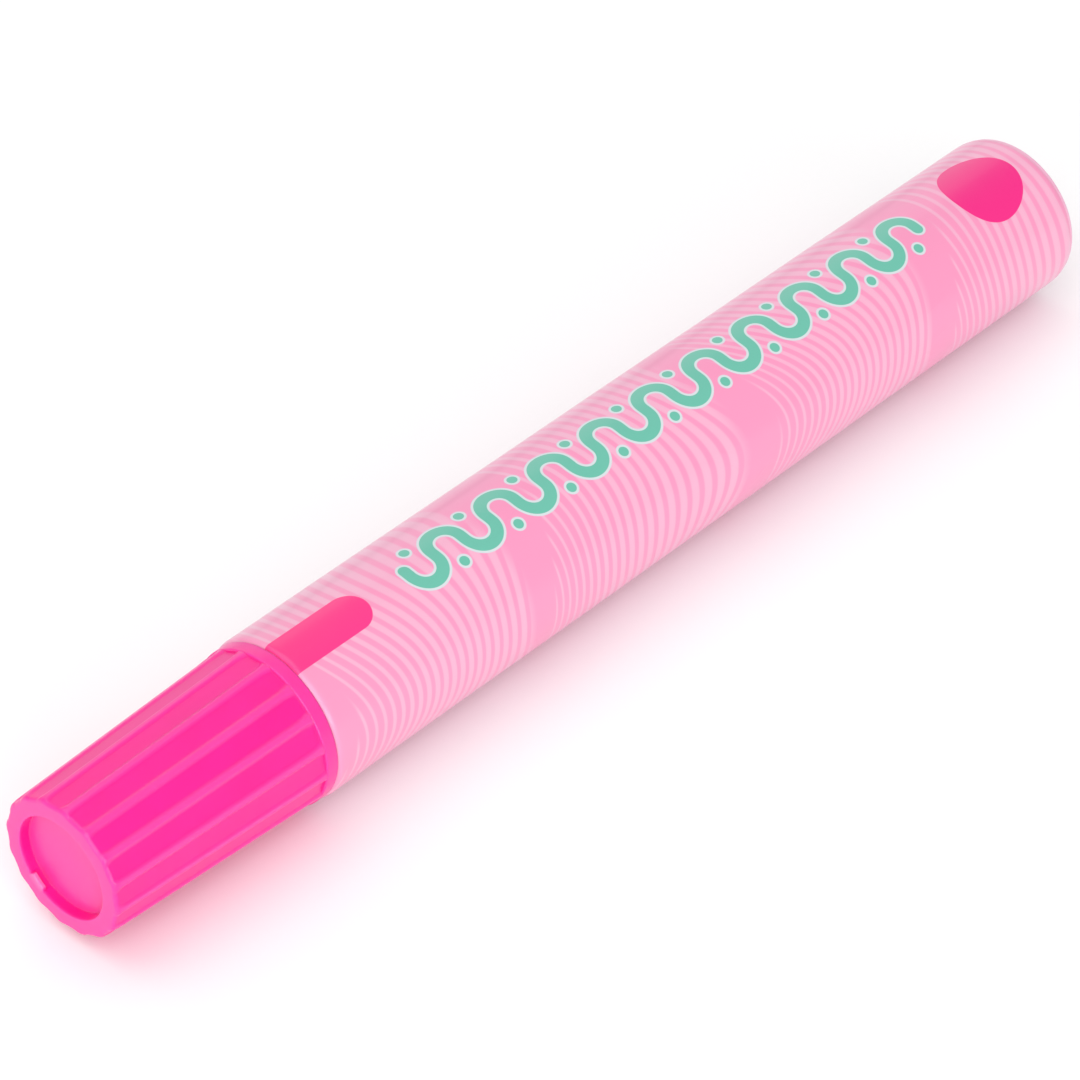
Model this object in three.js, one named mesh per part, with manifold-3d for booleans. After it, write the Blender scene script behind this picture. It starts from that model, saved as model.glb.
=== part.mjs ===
// A slim liquid glue tube: a film-covered barrel, a sprung press valve behind a sponge nib,
// and a fluted push-on cap.
// Millimetres, +Z up. The tube lies along X with its cap towards -X and rests on Z = 0.
// "along" is the distance from the barrel's shoulder: the barrel runs to + and the neck, nose and cap to -.
import * as THREE from "three";
import { mergeVertices } from "three/addons/utils/BufferGeometryUtils.js";
import Module from "manifold-3d";

// Overall sizes
const FILM_DIAMETER = 24;
const BARREL_LENGTH = 153.1;
const CAP_LENGTH = 37.78;
const CAP_GAP = 0.12;

// Label film
const FILM_THICKNESS = 0.2;
const FILM_GAP = 0.05;
const FILM_FRONT_WRAP = 45;
const FILM_BASE_WRAP = 75;

// Barrel
const BARREL_WALL = 0.9;
const BASE_ROUNDING = 2.15;
const BASE_THICKNESS = 1.4;
const BASE_INNER_ROUNDING = 1.2;
const FOOT_INSET = 0.3;
const FOOT_HEIGHT = 0.25;
const FOOT_HOLLOW_DIAMETER = 10;
const FOOT_HOLLOW_DEPTH = 0.6;
const SHOULDER_ROUNDING = 0.8;
const SHOULDER_THICKNESS = 1.2;
const SHOULDER_SLOPE = 0.35;
const SHOULDER_WIDTH = 2.25;
const NECK_WALL = 1.1;
const NECK_LENGTH = 11;
const NECK_CHAMFER = 0.4;
const NECK_BEAD_PLACE = 5.6;
const BEAD_HEIGHT = 0.25;
const BEAD_WIDTH = 1.2;
const BEAD_TOP_WIDTH = 0.5;

// Glue
const GLUE_GAP = 0.05;
const GLUE_END_GAP = 0.3;
const AIR_HEIGHT = 2.7;

// Neck insert
const SEAT_GAP = 0.05;
const PLUG_LENGTH = 9.5;
const PLUG_WALL = 1.1;
const FLANGE_INSET = 0.1;
const FLANGE_THICKNESS = 1.2;
const NOSE_LENGTH = 8.25;
const NOSE_DIAMETER = 13.8;
const NOSE_CONE_STEP = 0.7;
const NOSE_CONE_LENGTH = 1.8;
const NOSE_ROUNDING = 0.6;
const NOSE_BORE_CHAMFER = 0.3;
const WEB_DEPTH = 1;
const WEB_THICKNESS = 1.5;
const SEAT_HOLE_DIAMETER = 6;

// Press valve
const PRESS_TRAVEL = 2.5;
const RUNNING_CLEARANCE = 0.05;
const STEM_DIAMETER = 3;
const STEM_CHAMFER = 0.3;
const HEAD_DIAMETER = 8.8;
const HEAD_THICKNESS = 1.2;
const GUIDE_CLEARANCE = 0.3;
const GUIDE_LENGTH = 2.9;
const GASKET_INSET = 0.2;
const GASKET_THICKNESS = 0.8;
const CAGE_WALL = 0.9;
const CAGE_FRONT_GAP = 0.6;
const CAGE_FLANGE_INSET = 0.15;
const CAGE_FLANGE_THICKNESS = 1;
const CAGE_TAIL_LENGTH = 2.45;
const CAGE_FLOOR = 1;
const CAGE_HOLE_DIAMETER = 2.4;
const WINDOW_COUNT = 4;
const WINDOW_WIDTH = 3;
const WINDOW_MARGIN = 0.25;
const WIRE_DIAMETER = 0.6;
const SPRING_DIAMETER = 6;
const SPRING_TURNS = 6;
const SPRING_END_PITCH = 1.1;

// Nib and its holder
const HOLDER_DIAMETER = 10.4;
const HOLDER_WALL = 0.8;
const HOLDER_WEB = 1.2;
const HOLDER_WEB_DEPTH = 2.9;
const HOLDER_END_ROOM = 0.3;
const COLLAR_INSET = 0.7;
const COLLAR_THICKNESS = 1.4;
const COLLAR_CHAMFER = 0.35;
const HUB_WALL = 0.95;
const FLOW_HOLE_COUNT = 6;
const FLOW_HOLE_DIAMETER = 1.1;
const NIB_OUT = 4.4;
const NIB_DOME = 3.6;

// Cap
const RIB_COUNT = 16;
const RIB_PHASE = 6.5;
const RIB_HEIGHT = 0.18;
const RIB_CREST_WIDTH = 0.7;
const RIB_BASE_WIDTH = 1.3;
const RIB_CROWN = 0.08;
const CAP_WALL = 1.5;
const RIB_RIM_STEP = 0.03;
const CAP_EDGE_ROUNDING = 0.4;
const RING_INSET = 0.28;
const RING_WIDTH = 2;
const RING_ROUNDING = 0.25;
const RIB_FLARE_LENGTH = 2.2;
const RIB_FLARE_SPREAD = 0.35;
const RECESS_DIAMETER = 15.1;
const RECESS_DEPTH = 1.6;
const CAP_END_WALL = 1.3;
const CAP_CLEARANCE = 0.08;
const CAP_SEAT_RELIEF = 0.17;
const BEAD_SPACING = 0.8;
const CAP_MOUTH_CHAMFER = 0.4;
const CAP_CEILING_STEP = 0.6;

// Cap liner
const LINER_GAP = 0.1;
const LINER_DISC = 0.8;
const LINER_WALL = 0.8;
const LINER_ROOM = 0.2;
const LINER_LIP_LENGTH = 1.6;
const LINER_OVERLAP = 4;

// Facets
const ROUND_SIDES = 40;
const SMALL_SIDES = 24;
const ARC_STEP = 15;
const HOLE_SIDES = 8;
const EDGE_STEPS = 2;
const FLARE_STEPS = 3;
const SPRING_STEPS = 8;
const SPRING_SAMPLES = 4;
const WIRE_SIDES = 5;
const MERGE_DISTANCE = 1e-4;
const CUT_MARGIN = 1;

const wasm = await Module();
wasm.setup();

// Radii that follow from the sizes above
const filmRadius = FILM_DIAMETER / 2;
const barrelRadius = filmRadius - FILM_THICKNESS - FILM_GAP;
const chamberRadius = barrelRadius - BARREL_WALL;
const footRadius = barrelRadius - BASE_ROUNDING - FOOT_INSET;
const neckRadius = barrelRadius - SHOULDER_WIDTH;
const neckBore = neckRadius - NECK_WALL;
const plugRadius = neckBore - SEAT_GAP;
const plugBore = plugRadius - PLUG_WALL;
const noseRadius = NOSE_DIAMETER / 2;
const holderRadius = HOLDER_DIAMETER / 2;
const collarRadius = noseRadius - COLLAR_INSET;
const cupRadius = holderRadius - HOLDER_WALL;
const stemRadius = STEM_DIAMETER / 2;
const hubBore = stemRadius + SEAT_GAP;
const hubRadius = hubBore + HUB_WALL;
const headRadius = HEAD_DIAMETER / 2;
const gasketRadius = headRadius - GASKET_INSET;
const springRadius = SPRING_DIAMETER / 2;
const guideRadius = springRadius - WIRE_DIAMETER / 2 - GUIDE_CLEARANCE;
const linerBore = noseRadius + LINER_ROOM;
const linerRadius = linerBore + LINER_WALL;
const ceilingRadius = linerRadius + CAP_CEILING_STEP;
const ringRadius = filmRadius - RING_INSET;
const capBeadBore = neckRadius + BEAD_HEIGHT + CAP_CLEARANCE;
const capSeatBore = capBeadBore + CAP_SEAT_RELIEF;

// Half the angle from one rib to the next, and the radius of the ribs' crests at both ends of the cap
const halfPitch = Math.PI / RIB_COUNT;
const tipCrest = (ceilingRadius + CAP_WALL + RIB_HEIGHT) / Math.cos(halfPitch);
const rimCrest = ringRadius - RIB_RIM_STEP;

// Places along the tube that follow from the sizes above
const basePlane = BARREL_LENGTH - FOOT_HEIGHT;
const chamberStart = SHOULDER_THICKNESS + (chamberRadius - neckBore) * SHOULDER_SLOPE;
const chamberEnd = basePlane - BASE_THICKNESS;
const neckMouth = -NECK_LENGTH;
const flangeRear = neckMouth - SEAT_GAP;
const flangeFront = flangeRear - FLANGE_THICKNESS;
const noseEnd = flangeFront - NOSE_LENGTH;
const plugEnd = neckMouth + PLUG_LENGTH;
const webRear = neckMouth + WEB_DEPTH;
const webFront = webRear - WEB_THICKNESS;
const gasketFront = webRear + SEAT_GAP;
const headFront = gasketFront + GASKET_THICKNESS + SEAT_GAP;
const headRear = headFront + HEAD_THICKNESS;
const cageFlangeFront = plugEnd + SEAT_GAP;
const cageFlangeRear = cageFlangeFront + CAGE_FLANGE_THICKNESS;
const cageFloorFront = cageFlangeRear + CAGE_TAIL_LENGTH;
const cageRear = cageFloorFront + CAGE_FLOOR;
const collarRear = noseEnd - PRESS_TRAVEL - SEAT_GAP;
const collarFront = collarRear - COLLAR_THICKNESS;
const holderWebFront = noseEnd + HOLDER_WEB_DEPTH;
const holderWebRear = holderWebFront + HOLDER_WEB;
const holderRear = webFront - PRESS_TRAVEL - HOLDER_END_ROOM;
const nibTip = collarFront - NIB_OUT;
const capMouth = -CAP_GAP;
const capEnd = capMouth - CAP_LENGTH;
const capCeiling = capEnd + RECESS_DEPTH + CAP_END_WALL;
const ringFront = capMouth - RING_WIDTH;
const capBeadPlace = NECK_BEAD_PLACE - BEAD_WIDTH - BEAD_SPACING;

// Distances from the cap's end to the front of its rim ring and to the start of the ribs' flare
const ribLength = CAP_LENGTH - RING_WIDTH;
const flareStart = ribLength - RIB_FLARE_LENGTH;

const radians = THREE.MathUtils.degToRad;

// A geometry with positions alone, shared between its triangles
function closed(geometry) {
  const bare = geometry.clone();
  bare.deleteAttribute("normal");
  bare.deleteAttribute("uv");
  return mergeVertices(bare, MERGE_DISTANCE);
}

function toSolid(geometry) {
  const bare = closed(geometry);
  const vertProperties = new Float32Array(bare.attributes.position.array);
  const triVerts = new Uint32Array(bare.index.array);
  return new wasm.Manifold(new wasm.Mesh({ numProp: 3, vertProperties, triVerts }));
}

function toGeometry(solid) {
  const { vertProperties, triVerts } = solid.getMesh();
  const geometry = new THREE.BufferGeometry();
  geometry.setAttribute("position", new THREE.BufferAttribute(vertProperties, 3));
  geometry.setIndex(new THREE.BufferAttribute(triVerts, 1));
  return geometry;
}

// Points of an arc in the plane of along and radius, turned from +along towards +radius, in degrees
function arc(along, radius, size, from, to) {
  const steps = Math.max(2, Math.round(Math.abs(to - from) / ARC_STEP));
  const points = [];
  for (let i = 0; i <= steps; i += 1) {
    const turn = radians(THREE.MathUtils.lerp(from, to, i / steps));
    points.push([along + size * Math.cos(turn), radius + size * Math.sin(turn)]);
  }
  return points;
}

// A round body about the X axis from an outline of [along, radius] points.
// Radii are measured to the flats: a round piece has a flat side down and coaxial pieces keep their gaps.
function revolve(outline, sides = ROUND_SIDES) {
  const toCorner = 1 / Math.cos(Math.PI / sides);
  const points = outline.map(([along, radius]) => new THREE.Vector2(radius * toCorner, along));
  if (THREE.ShapeUtils.area(points) < 0) points.reverse();
  if (points[0].x > 0) points.push(points[0].clone());
  const lathe = new THREE.LatheGeometry(points, sides, Math.PI / sides);
  lathe.rotateZ(-Math.PI / 2);
  return closed(lathe);
}

// A straight pin along X, used as a cutter
function pin(radius, from, to, sides = SMALL_SIDES) {
  return revolve([[from, 0], [from, radius], [to, radius], [to, 0]], sides);
}

// The rounded bead that a push-on cap snaps over, on a wall at the given radius
function bead(place, radius, height, direction) {
  const foot = (direction * BEAD_WIDTH) / 2;
  const top = (direction * BEAD_TOP_WIDTH) / 2;
  return [
    [place - foot, radius],
    [place - top, radius + height],
    [place + top, radius + height],
    [place + foot, radius],
  ];
}

function barrel() {
  const hollowPlane = BARREL_LENGTH - FOOT_HOLLOW_DEPTH;
  const hollowRadius = FOOT_HOLLOW_DIAMETER / 2;
  const innerCorner = chamberRadius - BASE_INNER_ROUNDING;
  return revolve([
    [hollowPlane, 0],
    [hollowPlane, hollowRadius - FOOT_HOLLOW_DEPTH],
    [BARREL_LENGTH, hollowRadius],
    [BARREL_LENGTH, footRadius - FOOT_HEIGHT],
    [basePlane, footRadius],
    ...arc(basePlane - BASE_ROUNDING, barrelRadius - BASE_ROUNDING, BASE_ROUNDING, 0, 90),
    ...arc(SHOULDER_ROUNDING, barrelRadius - SHOULDER_ROUNDING, SHOULDER_ROUNDING, 90, 180),
    [0, neckRadius],
    ...bead(-NECK_BEAD_PLACE, neckRadius, BEAD_HEIGHT, -1),
    [neckMouth + NECK_CHAMFER, neckRadius],
    [neckMouth, neckRadius - NECK_CHAMFER],
    [neckMouth, neckBore],
    [SHOULDER_THICKNESS, neckBore],
    [chamberStart, chamberRadius],
    ...arc(chamberEnd - BASE_INNER_ROUNDING, innerCorner, BASE_INNER_ROUNDING, 90, 0),
    [chamberEnd, 0],
  ]);
}

// The film follows the barrel's wall and is shrunk over its shoulder and its base corner
function labelSleeve() {
  const frontRadius = barrelRadius - SHOULDER_ROUNDING;
  const baseAlong = basePlane - BASE_ROUNDING;
  const baseRadius = barrelRadius - BASE_ROUNDING;
  const skin = (offset) => [
    ...arc(SHOULDER_ROUNDING, frontRadius, SHOULDER_ROUNDING + offset, 90 + FILM_FRONT_WRAP, 90),
    ...arc(baseAlong, baseRadius, BASE_ROUNDING + offset, 90, 90 - FILM_BASE_WRAP),
  ];
  return revolve([...skin(FILM_GAP + FILM_THICKNESS), ...skin(FILM_GAP).reverse()]);
}

// The glue fills the chamber up to a level surface, because the tube lies on its side
function glueFill() {
  const radius = chamberRadius - GLUE_GAP;
  const from = Math.max(cageRear, chamberStart) + GLUE_END_GAP;
  const to = chamberEnd - BASE_INNER_ROUNDING - GLUE_END_GAP;
  const edge = Math.acos((chamberRadius - AIR_HEIGHT) / radius);
  const section = new THREE.Shape();
  section.absarc(0, 0, radius, edge - Math.PI, Math.PI - edge, false);
  const options = { depth: to - from, curveSegments: ROUND_SIDES, bevelEnabled: false };
  const body = new THREE.ExtrudeGeometry(section, options);
  body.rotateY(Math.PI / 2);
  body.translate(from, 0, 0);
  return closed(body);
}

// The insert is pressed into the neck: plug, flange, valve seat and the nose that guides the nib
function neckInsert() {
  const bore = holderRadius + RUNNING_CLEARANCE;
  return revolve([
    [plugEnd, plugBore],
    [plugEnd, plugRadius],
    [flangeRear, plugRadius],
    [flangeRear, neckRadius - FLANGE_INSET],
    [flangeFront, neckRadius - FLANGE_INSET],
    [flangeFront, noseRadius + NOSE_CONE_STEP],
    [flangeFront - NOSE_CONE_LENGTH, noseRadius],
    ...arc(noseEnd + NOSE_ROUNDING, noseRadius - NOSE_ROUNDING, NOSE_ROUNDING, 90, 180),
    [noseEnd, bore + NOSE_BORE_CHAMFER],
    [noseEnd + NOSE_BORE_CHAMFER, bore],
    [webFront, bore],
    [webFront, SEAT_HOLE_DIAMETER / 2],
    [webRear, SEAT_HOLE_DIAMETER / 2],
    [webRear, plugBore],
  ]);
}

// The cage clips into the plug from behind, carries the spring and lets the glue in through its windows
function valveCage() {
  const outer = plugBore - SEAT_GAP;
  const inner = outer - CAGE_WALL;
  let cage = toSolid(revolve([
    [webRear + CAGE_FRONT_GAP, inner],
    [webRear + CAGE_FRONT_GAP, outer],
    [cageFlangeFront, outer],
    [cageFlangeFront, plugRadius - CAGE_FLANGE_INSET],
    [cageFlangeRear, plugRadius - CAGE_FLANGE_INSET],
    [cageFlangeRear, outer],
    [cageRear, outer],
    [cageRear, CAGE_HOLE_DIAMETER / 2],
    [cageFloorFront, CAGE_HOLE_DIAMETER / 2],
    [cageFloorFront, inner],
  ]));
  const from = cageFlangeRear + WINDOW_MARGIN;
  const to = cageFloorFront - WINDOW_MARGIN;
  for (let i = 0; i < WINDOW_COUNT; i += 1) {
    const turn = (i / WINDOW_COUNT) * 2 * Math.PI;
    const cutter = new THREE.BoxGeometry(to - from, WINDOW_WIDTH, outer + CUT_MARGIN);
    cutter.translate((from + to) / 2, 0, (outer + CUT_MARGIN) / 2);
    cutter.rotateX(turn);
    cage = cage.subtract(toSolid(cutter));
  }
  return toGeometry(cage);
}

// The spring's wire follows a helix whose end turns are wound closer than the rest
class SpringPath extends THREE.Curve {
  constructor(from, to, radius, turns, endPitch) {
    super();
    Object.assign(this, { from, to, radius, turns, endPitch });
  }

  getPoint(t, target = new THREE.Vector3()) {
    const turned = t * this.turns;
    const span = this.to - this.from;
    const midPitch = (span - 2 * this.endPitch) / (this.turns - 2);
    let along = turned * this.endPitch;
    if (turned > 1) along = this.endPitch + (turned - 1) * midPitch;
    if (turned > this.turns - 1) along = span - (this.turns - turned) * this.endPitch;
    const angle = turned * 2 * Math.PI;
    return target.set(this.from + along, this.radius * Math.sin(angle), this.radius * Math.cos(angle));
  }
}

function springPath() {
  const inset = SEAT_GAP + WIRE_DIAMETER / 2;
  const from = headRear + inset;
  const to = cageFloorFront - inset;
  return new SpringPath(from, to, springRadius, SPRING_TURNS, SPRING_END_PITCH);
}

// The least distance between the surfaces of two turns, measured on points of the wire's centre line
function leastSpringGap(path) {
  const steps = SPRING_TURNS * SPRING_STEPS * SPRING_SAMPLES;
  const points = path.getPoints(steps);
  const halfTurn = Math.round(steps / SPRING_TURNS / 2);
  let least = Infinity;
  points.forEach((point, i) => {
    points.slice(i + halfTurn).forEach((other) => {
      least = Math.min(least, point.distanceTo(other));
    });
  });
  return least - WIRE_DIAMETER;
}

function valveSpring() {
  const wire = new THREE.Shape();
  for (let i = 0; i < WIRE_SIDES; i += 1) {
    const turn = (i / WIRE_SIDES) * 2 * Math.PI;
    const x = (WIRE_DIAMETER / 2) * Math.cos(turn);
    const y = (WIRE_DIAMETER / 2) * Math.sin(turn);
    if (i === 0) wire.moveTo(x, y);
    else wire.lineTo(x, y);
  }
  const path = springPath();
  console.log("valve_spring least gap between turns, mm:", leastSpringGap(path).toFixed(2));
  const options = { steps: SPRING_TURNS * SPRING_STEPS, extrudePath: path };
  return closed(new THREE.ExtrudeGeometry(wire, options));
}

// The stem runs from the nib's holder through the seat to the valve head and the spring's guide
function valveStem() {
  const tip = holderWebFront + SEAT_GAP;
  const guideEnd = headRear + GUIDE_LENGTH;
  return revolve([
    [tip, 0],
    [tip, stemRadius - STEM_CHAMFER],
    [tip + STEM_CHAMFER, stemRadius],
    [headFront, stemRadius],
    [headFront, headRadius],
    [headRear, headRadius],
    [headRear, guideRadius],
    [guideEnd - STEM_CHAMFER, guideRadius],
    [guideEnd, guideRadius - STEM_CHAMFER],
    [guideEnd, 0],
  ], SMALL_SIDES);
}

function valveGasket() {
  const rear = gasketFront + GASKET_THICKNESS;
  return revolve([
    [gasketFront, hubBore],
    [gasketFront, gasketRadius],
    [rear, gasketRadius],
    [rear, hubBore],
  ], SMALL_SIDES);
}

// The holder slides in the nose: a cup for the nib, a web with flow holes, a hub on the stem
// and a stop collar
function nibHolder() {
  let holder = toSolid(revolve([
    [holderRear, cupRadius],
    [holderRear, holderRadius],
    [collarRear, holderRadius],
    [collarRear, collarRadius],
    [collarFront + COLLAR_CHAMFER, collarRadius],
    [collarFront, collarRadius - COLLAR_CHAMFER],
    [collarFront, cupRadius],
    [holderWebFront, cupRadius],
    [holderWebFront, hubBore],
    [holderRear, hubBore],
    [holderRear, hubRadius],
    [holderWebRear, hubRadius],
    [holderWebRear, cupRadius],
  ]));
  const from = holderWebFront - CUT_MARGIN;
  const to = holderWebRear + CUT_MARGIN;
  for (let i = 0; i < FLOW_HOLE_COUNT; i += 1) {
    const hole = pin(FLOW_HOLE_DIAMETER / 2, from, to, HOLE_SIDES);
    hole.translate(0, 0, (hubRadius + cupRadius) / 2);
    hole.rotateX((i / FLOW_HOLE_COUNT) * 2 * Math.PI);
    holder = holder.subtract(toSolid(hole));
  }
  return toGeometry(holder);
}

function spongeNib() {
  const radius = cupRadius - SEAT_GAP;
  const foot = holderWebFront - SEAT_GAP;
  const dome = [];
  for (let turn = 90; turn < 180; turn += ARC_STEP) {
    const along = nibTip + NIB_DOME * (1 + Math.cos(radians(turn)));
    dome.push([along, radius * Math.sin(radians(turn))]);
  }
  return revolve([[foot, 0], [foot, radius], ...dome, [nibTip, 0]]);
}

// One cross-section of the fluted wall: a flat panel between each pair of narrow crowned ribs.
// The wall tapers evenly, and the ribs grow wider where they flow into the rim ring.
function flutedSection(distance, inset) {
  const straight = THREE.MathUtils.lerp(tipCrest, rimCrest, distance / ribLength);
  const flare = THREE.MathUtils.clamp((distance - flareStart) / RIB_FLARE_LENGTH, 0, 1);
  const crest = THREE.MathUtils.lerp(straight, ringRadius, flare * flare) - inset;
  const spread = RIB_FLARE_SPREAD * flare * flare;
  const baseHalf = RIB_BASE_WIDTH / 2 + spread;
  const crestHalf = (RIB_CREST_WIDTH + spread) / 2;
  const panel = straight * Math.cos(halfPitch) - RIB_HEIGHT - inset;
  const foot = (panel - baseHalf * Math.sin(halfPitch)) / Math.cos(halfPitch);
  const rib = [
    [-baseHalf, foot],
    [-crestHalf, crest - RIB_CROWN],
    [0, crest],
    [crestHalf, crest - RIB_CROWN],
    [baseHalf, foot],
  ];
  const points = [];
  for (let i = 0; i < RIB_COUNT; i += 1) {
    const turn = radians(RIB_PHASE) + i * 2 * halfPitch;
    rib.forEach(([across, out]) => {
      const y = -(out * Math.sin(turn) + across * Math.cos(turn));
      const z = out * Math.cos(turn) - across * Math.sin(turn);
      points.push(new THREE.Vector3(capEnd + distance, y, z));
    });
  }
  return points;
}

// A closed body through sections of equally many points, with a flat face at each end
function loft(sections) {
  const count = sections[0].length;
  const ends = [sections[0], sections[sections.length - 1]];
  const centres = ends.map((points) => new THREE.Vector3(points[0].x, 0, 0));
  const positions = [...sections.flat(), ...centres].flatMap((point) => point.toArray());
  const first = sections.length * count;
  const index = [];
  for (let j = 0; j < count; j += 1) {
    const next = (j + 1) % count;
    for (let i = 0; i + 1 < sections.length; i += 1) {
      const here = i * count;
      const there = here + count;
      index.push(here + j, here + next, there + j, here + next, there + next, there + j);
    }
    const last = (sections.length - 1) * count;
    index.push(first, next, j, first + 1, last + j, last + next);
  }
  const geometry = new THREE.BufferGeometry();
  geometry.setAttribute("position", new THREE.Float32BufferAttribute(positions, 3));
  geometry.setIndex(index);
  return geometry;
}

// The hollow of the cap: mouth, snap bead, seat on the neck and a taper to the ceiling
function capHollow() {
  const mouth = capMouth + CUT_MARGIN;
  return revolve([
    [mouth, 0],
    [mouth, capSeatBore + CAP_MOUTH_CHAMFER + CUT_MARGIN],
    [capMouth - CAP_MOUTH_CHAMFER, capSeatBore],
    ...bead(-capBeadPlace, capSeatBore, -CAP_SEAT_RELIEF, -1),
    [flangeFront, capSeatBore],
    [capCeiling, ceilingRadius],
    [capCeiling, 0],
  ]);
}

// The sections of the fluted wall: round its end edge, along the flares and into the rim ring
function flutedWall() {
  const sections = [];
  for (let i = 0; i <= EDGE_STEPS; i += 1) {
    const turn = ((i / EDGE_STEPS) * Math.PI) / 2;
    const distance = CAP_EDGE_ROUNDING * (1 - Math.cos(turn));
    sections.push(flutedSection(distance, CAP_EDGE_ROUNDING * (1 - Math.sin(turn))));
  }
  for (let i = 0; i <= FLARE_STEPS; i += 1) {
    sections.push(flutedSection(flareStart + (i / FLARE_STEPS) * RIB_FLARE_LENGTH, 0));
  }
  sections.push(flutedSection(ribLength + RING_WIDTH / 2, 0));
  return loft(sections);
}

function capShell() {
  const fluted = toSolid(flutedWall());
  const ring = toSolid(revolve([
    [ringFront, 0],
    [ringFront, ringRadius - RING_ROUNDING],
    [ringFront + RING_ROUNDING, ringRadius],
    [capMouth - RING_ROUNDING, ringRadius],
    [capMouth, ringRadius - RING_ROUNDING],
    [capMouth, 0],
  ]));
  const floor = capEnd + RECESS_DEPTH;
  const recess = toSolid(pin(RECESS_DIAMETER / 2, capEnd - CUT_MARGIN, floor, ROUND_SIDES));
  return toGeometry(fluted.add(ring).subtract(recess).subtract(toSolid(capHollow())));
}

// The soft liner stands on the cap's ceiling and its lip seals round the nose
function capLiner() {
  const discRear = capCeiling + LINER_GAP;
  const discFront = discRear + LINER_DISC;
  const discRadius = ceilingRadius - LINER_GAP;
  const lipBore = noseRadius + CAP_CLEARANCE;
  const lipEnd = noseEnd + LINER_OVERLAP;
  const lipStart = lipEnd - LINER_LIP_LENGTH;
  return revolve([
    [discRear, 0],
    [discRear, discRadius],
    [discFront, discRadius],
    [discFront, linerRadius],
    [lipEnd, linerRadius],
    [lipEnd, lipBore],
    [lipStart, lipBore],
    [lipStart, linerBore],
    [discFront, linerBore],
    [discFront, 0],
  ]);
}

function plastic(color, roughness) {
  return new THREE.MeshStandardMaterial({ color, roughness, metalness: 0, flatShading: true });
}

function steel(color, roughness) {
  return new THREE.MeshStandardMaterial({ color, roughness, metalness: 1 });
}

function piece(name, geometry, material) {
  const mesh = new THREE.Mesh(geometry, material);
  mesh.name = name;
  return mesh;
}

const glueTube = new THREE.Group();
glueTube.add(
  piece("barrel", barrel(), plastic(0xf7b6d2, 0.4)),
  piece("label_sleeve", labelSleeve(), plastic(0xffa6cc, 0.25)),
  piece("glue_fill", glueFill(), plastic(0xf2eee6, 0.1)),
  piece("neck_insert", neckInsert(), plastic(0xf6f3f0, 0.45)),
  piece("valve_cage", valveCage(), plastic(0xf2efe9, 0.5)),
  piece("valve_spring", valveSpring(), steel(0xb9bdc2, 0.3)),
  piece("valve_stem", valveStem(), plastic(0xf4f2ee, 0.45)),
  piece("valve_gasket", valveGasket(), plastic(0xe9e4dc, 0.8)),
  piece("nib_holder", nibHolder(), plastic(0xf7f5f2, 0.4)),
  piece("sponge_nib", spongeNib(), plastic(0xf3e9c8, 0.95)),
  piece("cap_shell", capShell(), plastic(0xff2d99, 0.35)),
  piece("cap_liner", capLiner(), plastic(0xf5f0ee, 0.5)),
);
glueTube.position.set(-(capEnd + BARREL_LENGTH) / 2, 0, filmRadius);

export default glueTube;
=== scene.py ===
"""A liquid glue tube: a printed film on a barrel, a press valve behind a foam nib, and a fluted cap."""
from math import acos, atan2, ceil, cos, hypot, pi, radians, sin, sqrt, tan
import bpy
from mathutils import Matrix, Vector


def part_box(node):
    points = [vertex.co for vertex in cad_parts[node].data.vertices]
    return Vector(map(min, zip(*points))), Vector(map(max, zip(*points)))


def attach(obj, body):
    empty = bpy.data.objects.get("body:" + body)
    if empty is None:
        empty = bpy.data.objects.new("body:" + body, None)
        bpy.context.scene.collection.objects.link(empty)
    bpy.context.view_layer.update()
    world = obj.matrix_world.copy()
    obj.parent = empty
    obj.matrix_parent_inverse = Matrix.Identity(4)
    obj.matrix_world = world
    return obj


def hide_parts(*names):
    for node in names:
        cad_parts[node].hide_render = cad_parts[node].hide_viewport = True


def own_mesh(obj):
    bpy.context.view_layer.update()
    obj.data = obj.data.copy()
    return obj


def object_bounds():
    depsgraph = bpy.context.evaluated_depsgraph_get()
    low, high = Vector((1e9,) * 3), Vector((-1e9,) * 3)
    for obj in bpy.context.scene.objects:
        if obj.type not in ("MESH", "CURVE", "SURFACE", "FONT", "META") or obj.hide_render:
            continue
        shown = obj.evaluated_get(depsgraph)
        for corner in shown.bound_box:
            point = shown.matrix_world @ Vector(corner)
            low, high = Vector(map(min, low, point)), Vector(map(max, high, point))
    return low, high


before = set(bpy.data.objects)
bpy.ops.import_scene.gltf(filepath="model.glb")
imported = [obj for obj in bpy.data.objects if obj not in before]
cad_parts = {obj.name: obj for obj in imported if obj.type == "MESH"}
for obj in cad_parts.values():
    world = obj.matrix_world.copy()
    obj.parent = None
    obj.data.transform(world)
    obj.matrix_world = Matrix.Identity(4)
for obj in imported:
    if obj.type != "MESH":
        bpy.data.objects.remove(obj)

from types import SimpleNamespace

import bmesh
import bpy
from bpy.props import FloatProperty, FloatVectorProperty, IntProperty, PointerProperty
from bpy.types import Operator, Panel, PropertyGroup
from mathutils import Matrix, Vector

bl_info = {
    "name": "Glue Tube",
    "version": (1, 0, 0),
    "blender": (4, 5, 0),
    "location": "3D View > Sidebar > Glue Tube",
    "description": "Dresses the frame of a glue tube with its printed film, fluted cap and press valve",
    "category": "Object",
}

# Places that the frame gives, in metres
MM = 0.001
CAD_LOW, CAD_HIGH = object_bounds()
FILM_LOW, FILM_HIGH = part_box("label_sleeve")
CAP_LOW, CAP_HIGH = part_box("cap_shell")
BARREL_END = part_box("barrel")[1].x
AXIS = (CAD_LOW.z + CAD_HIGH.z) / 2
FILM_RADIUS = (FILM_HIGH.z - FILM_LOW.z) / 2

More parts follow.
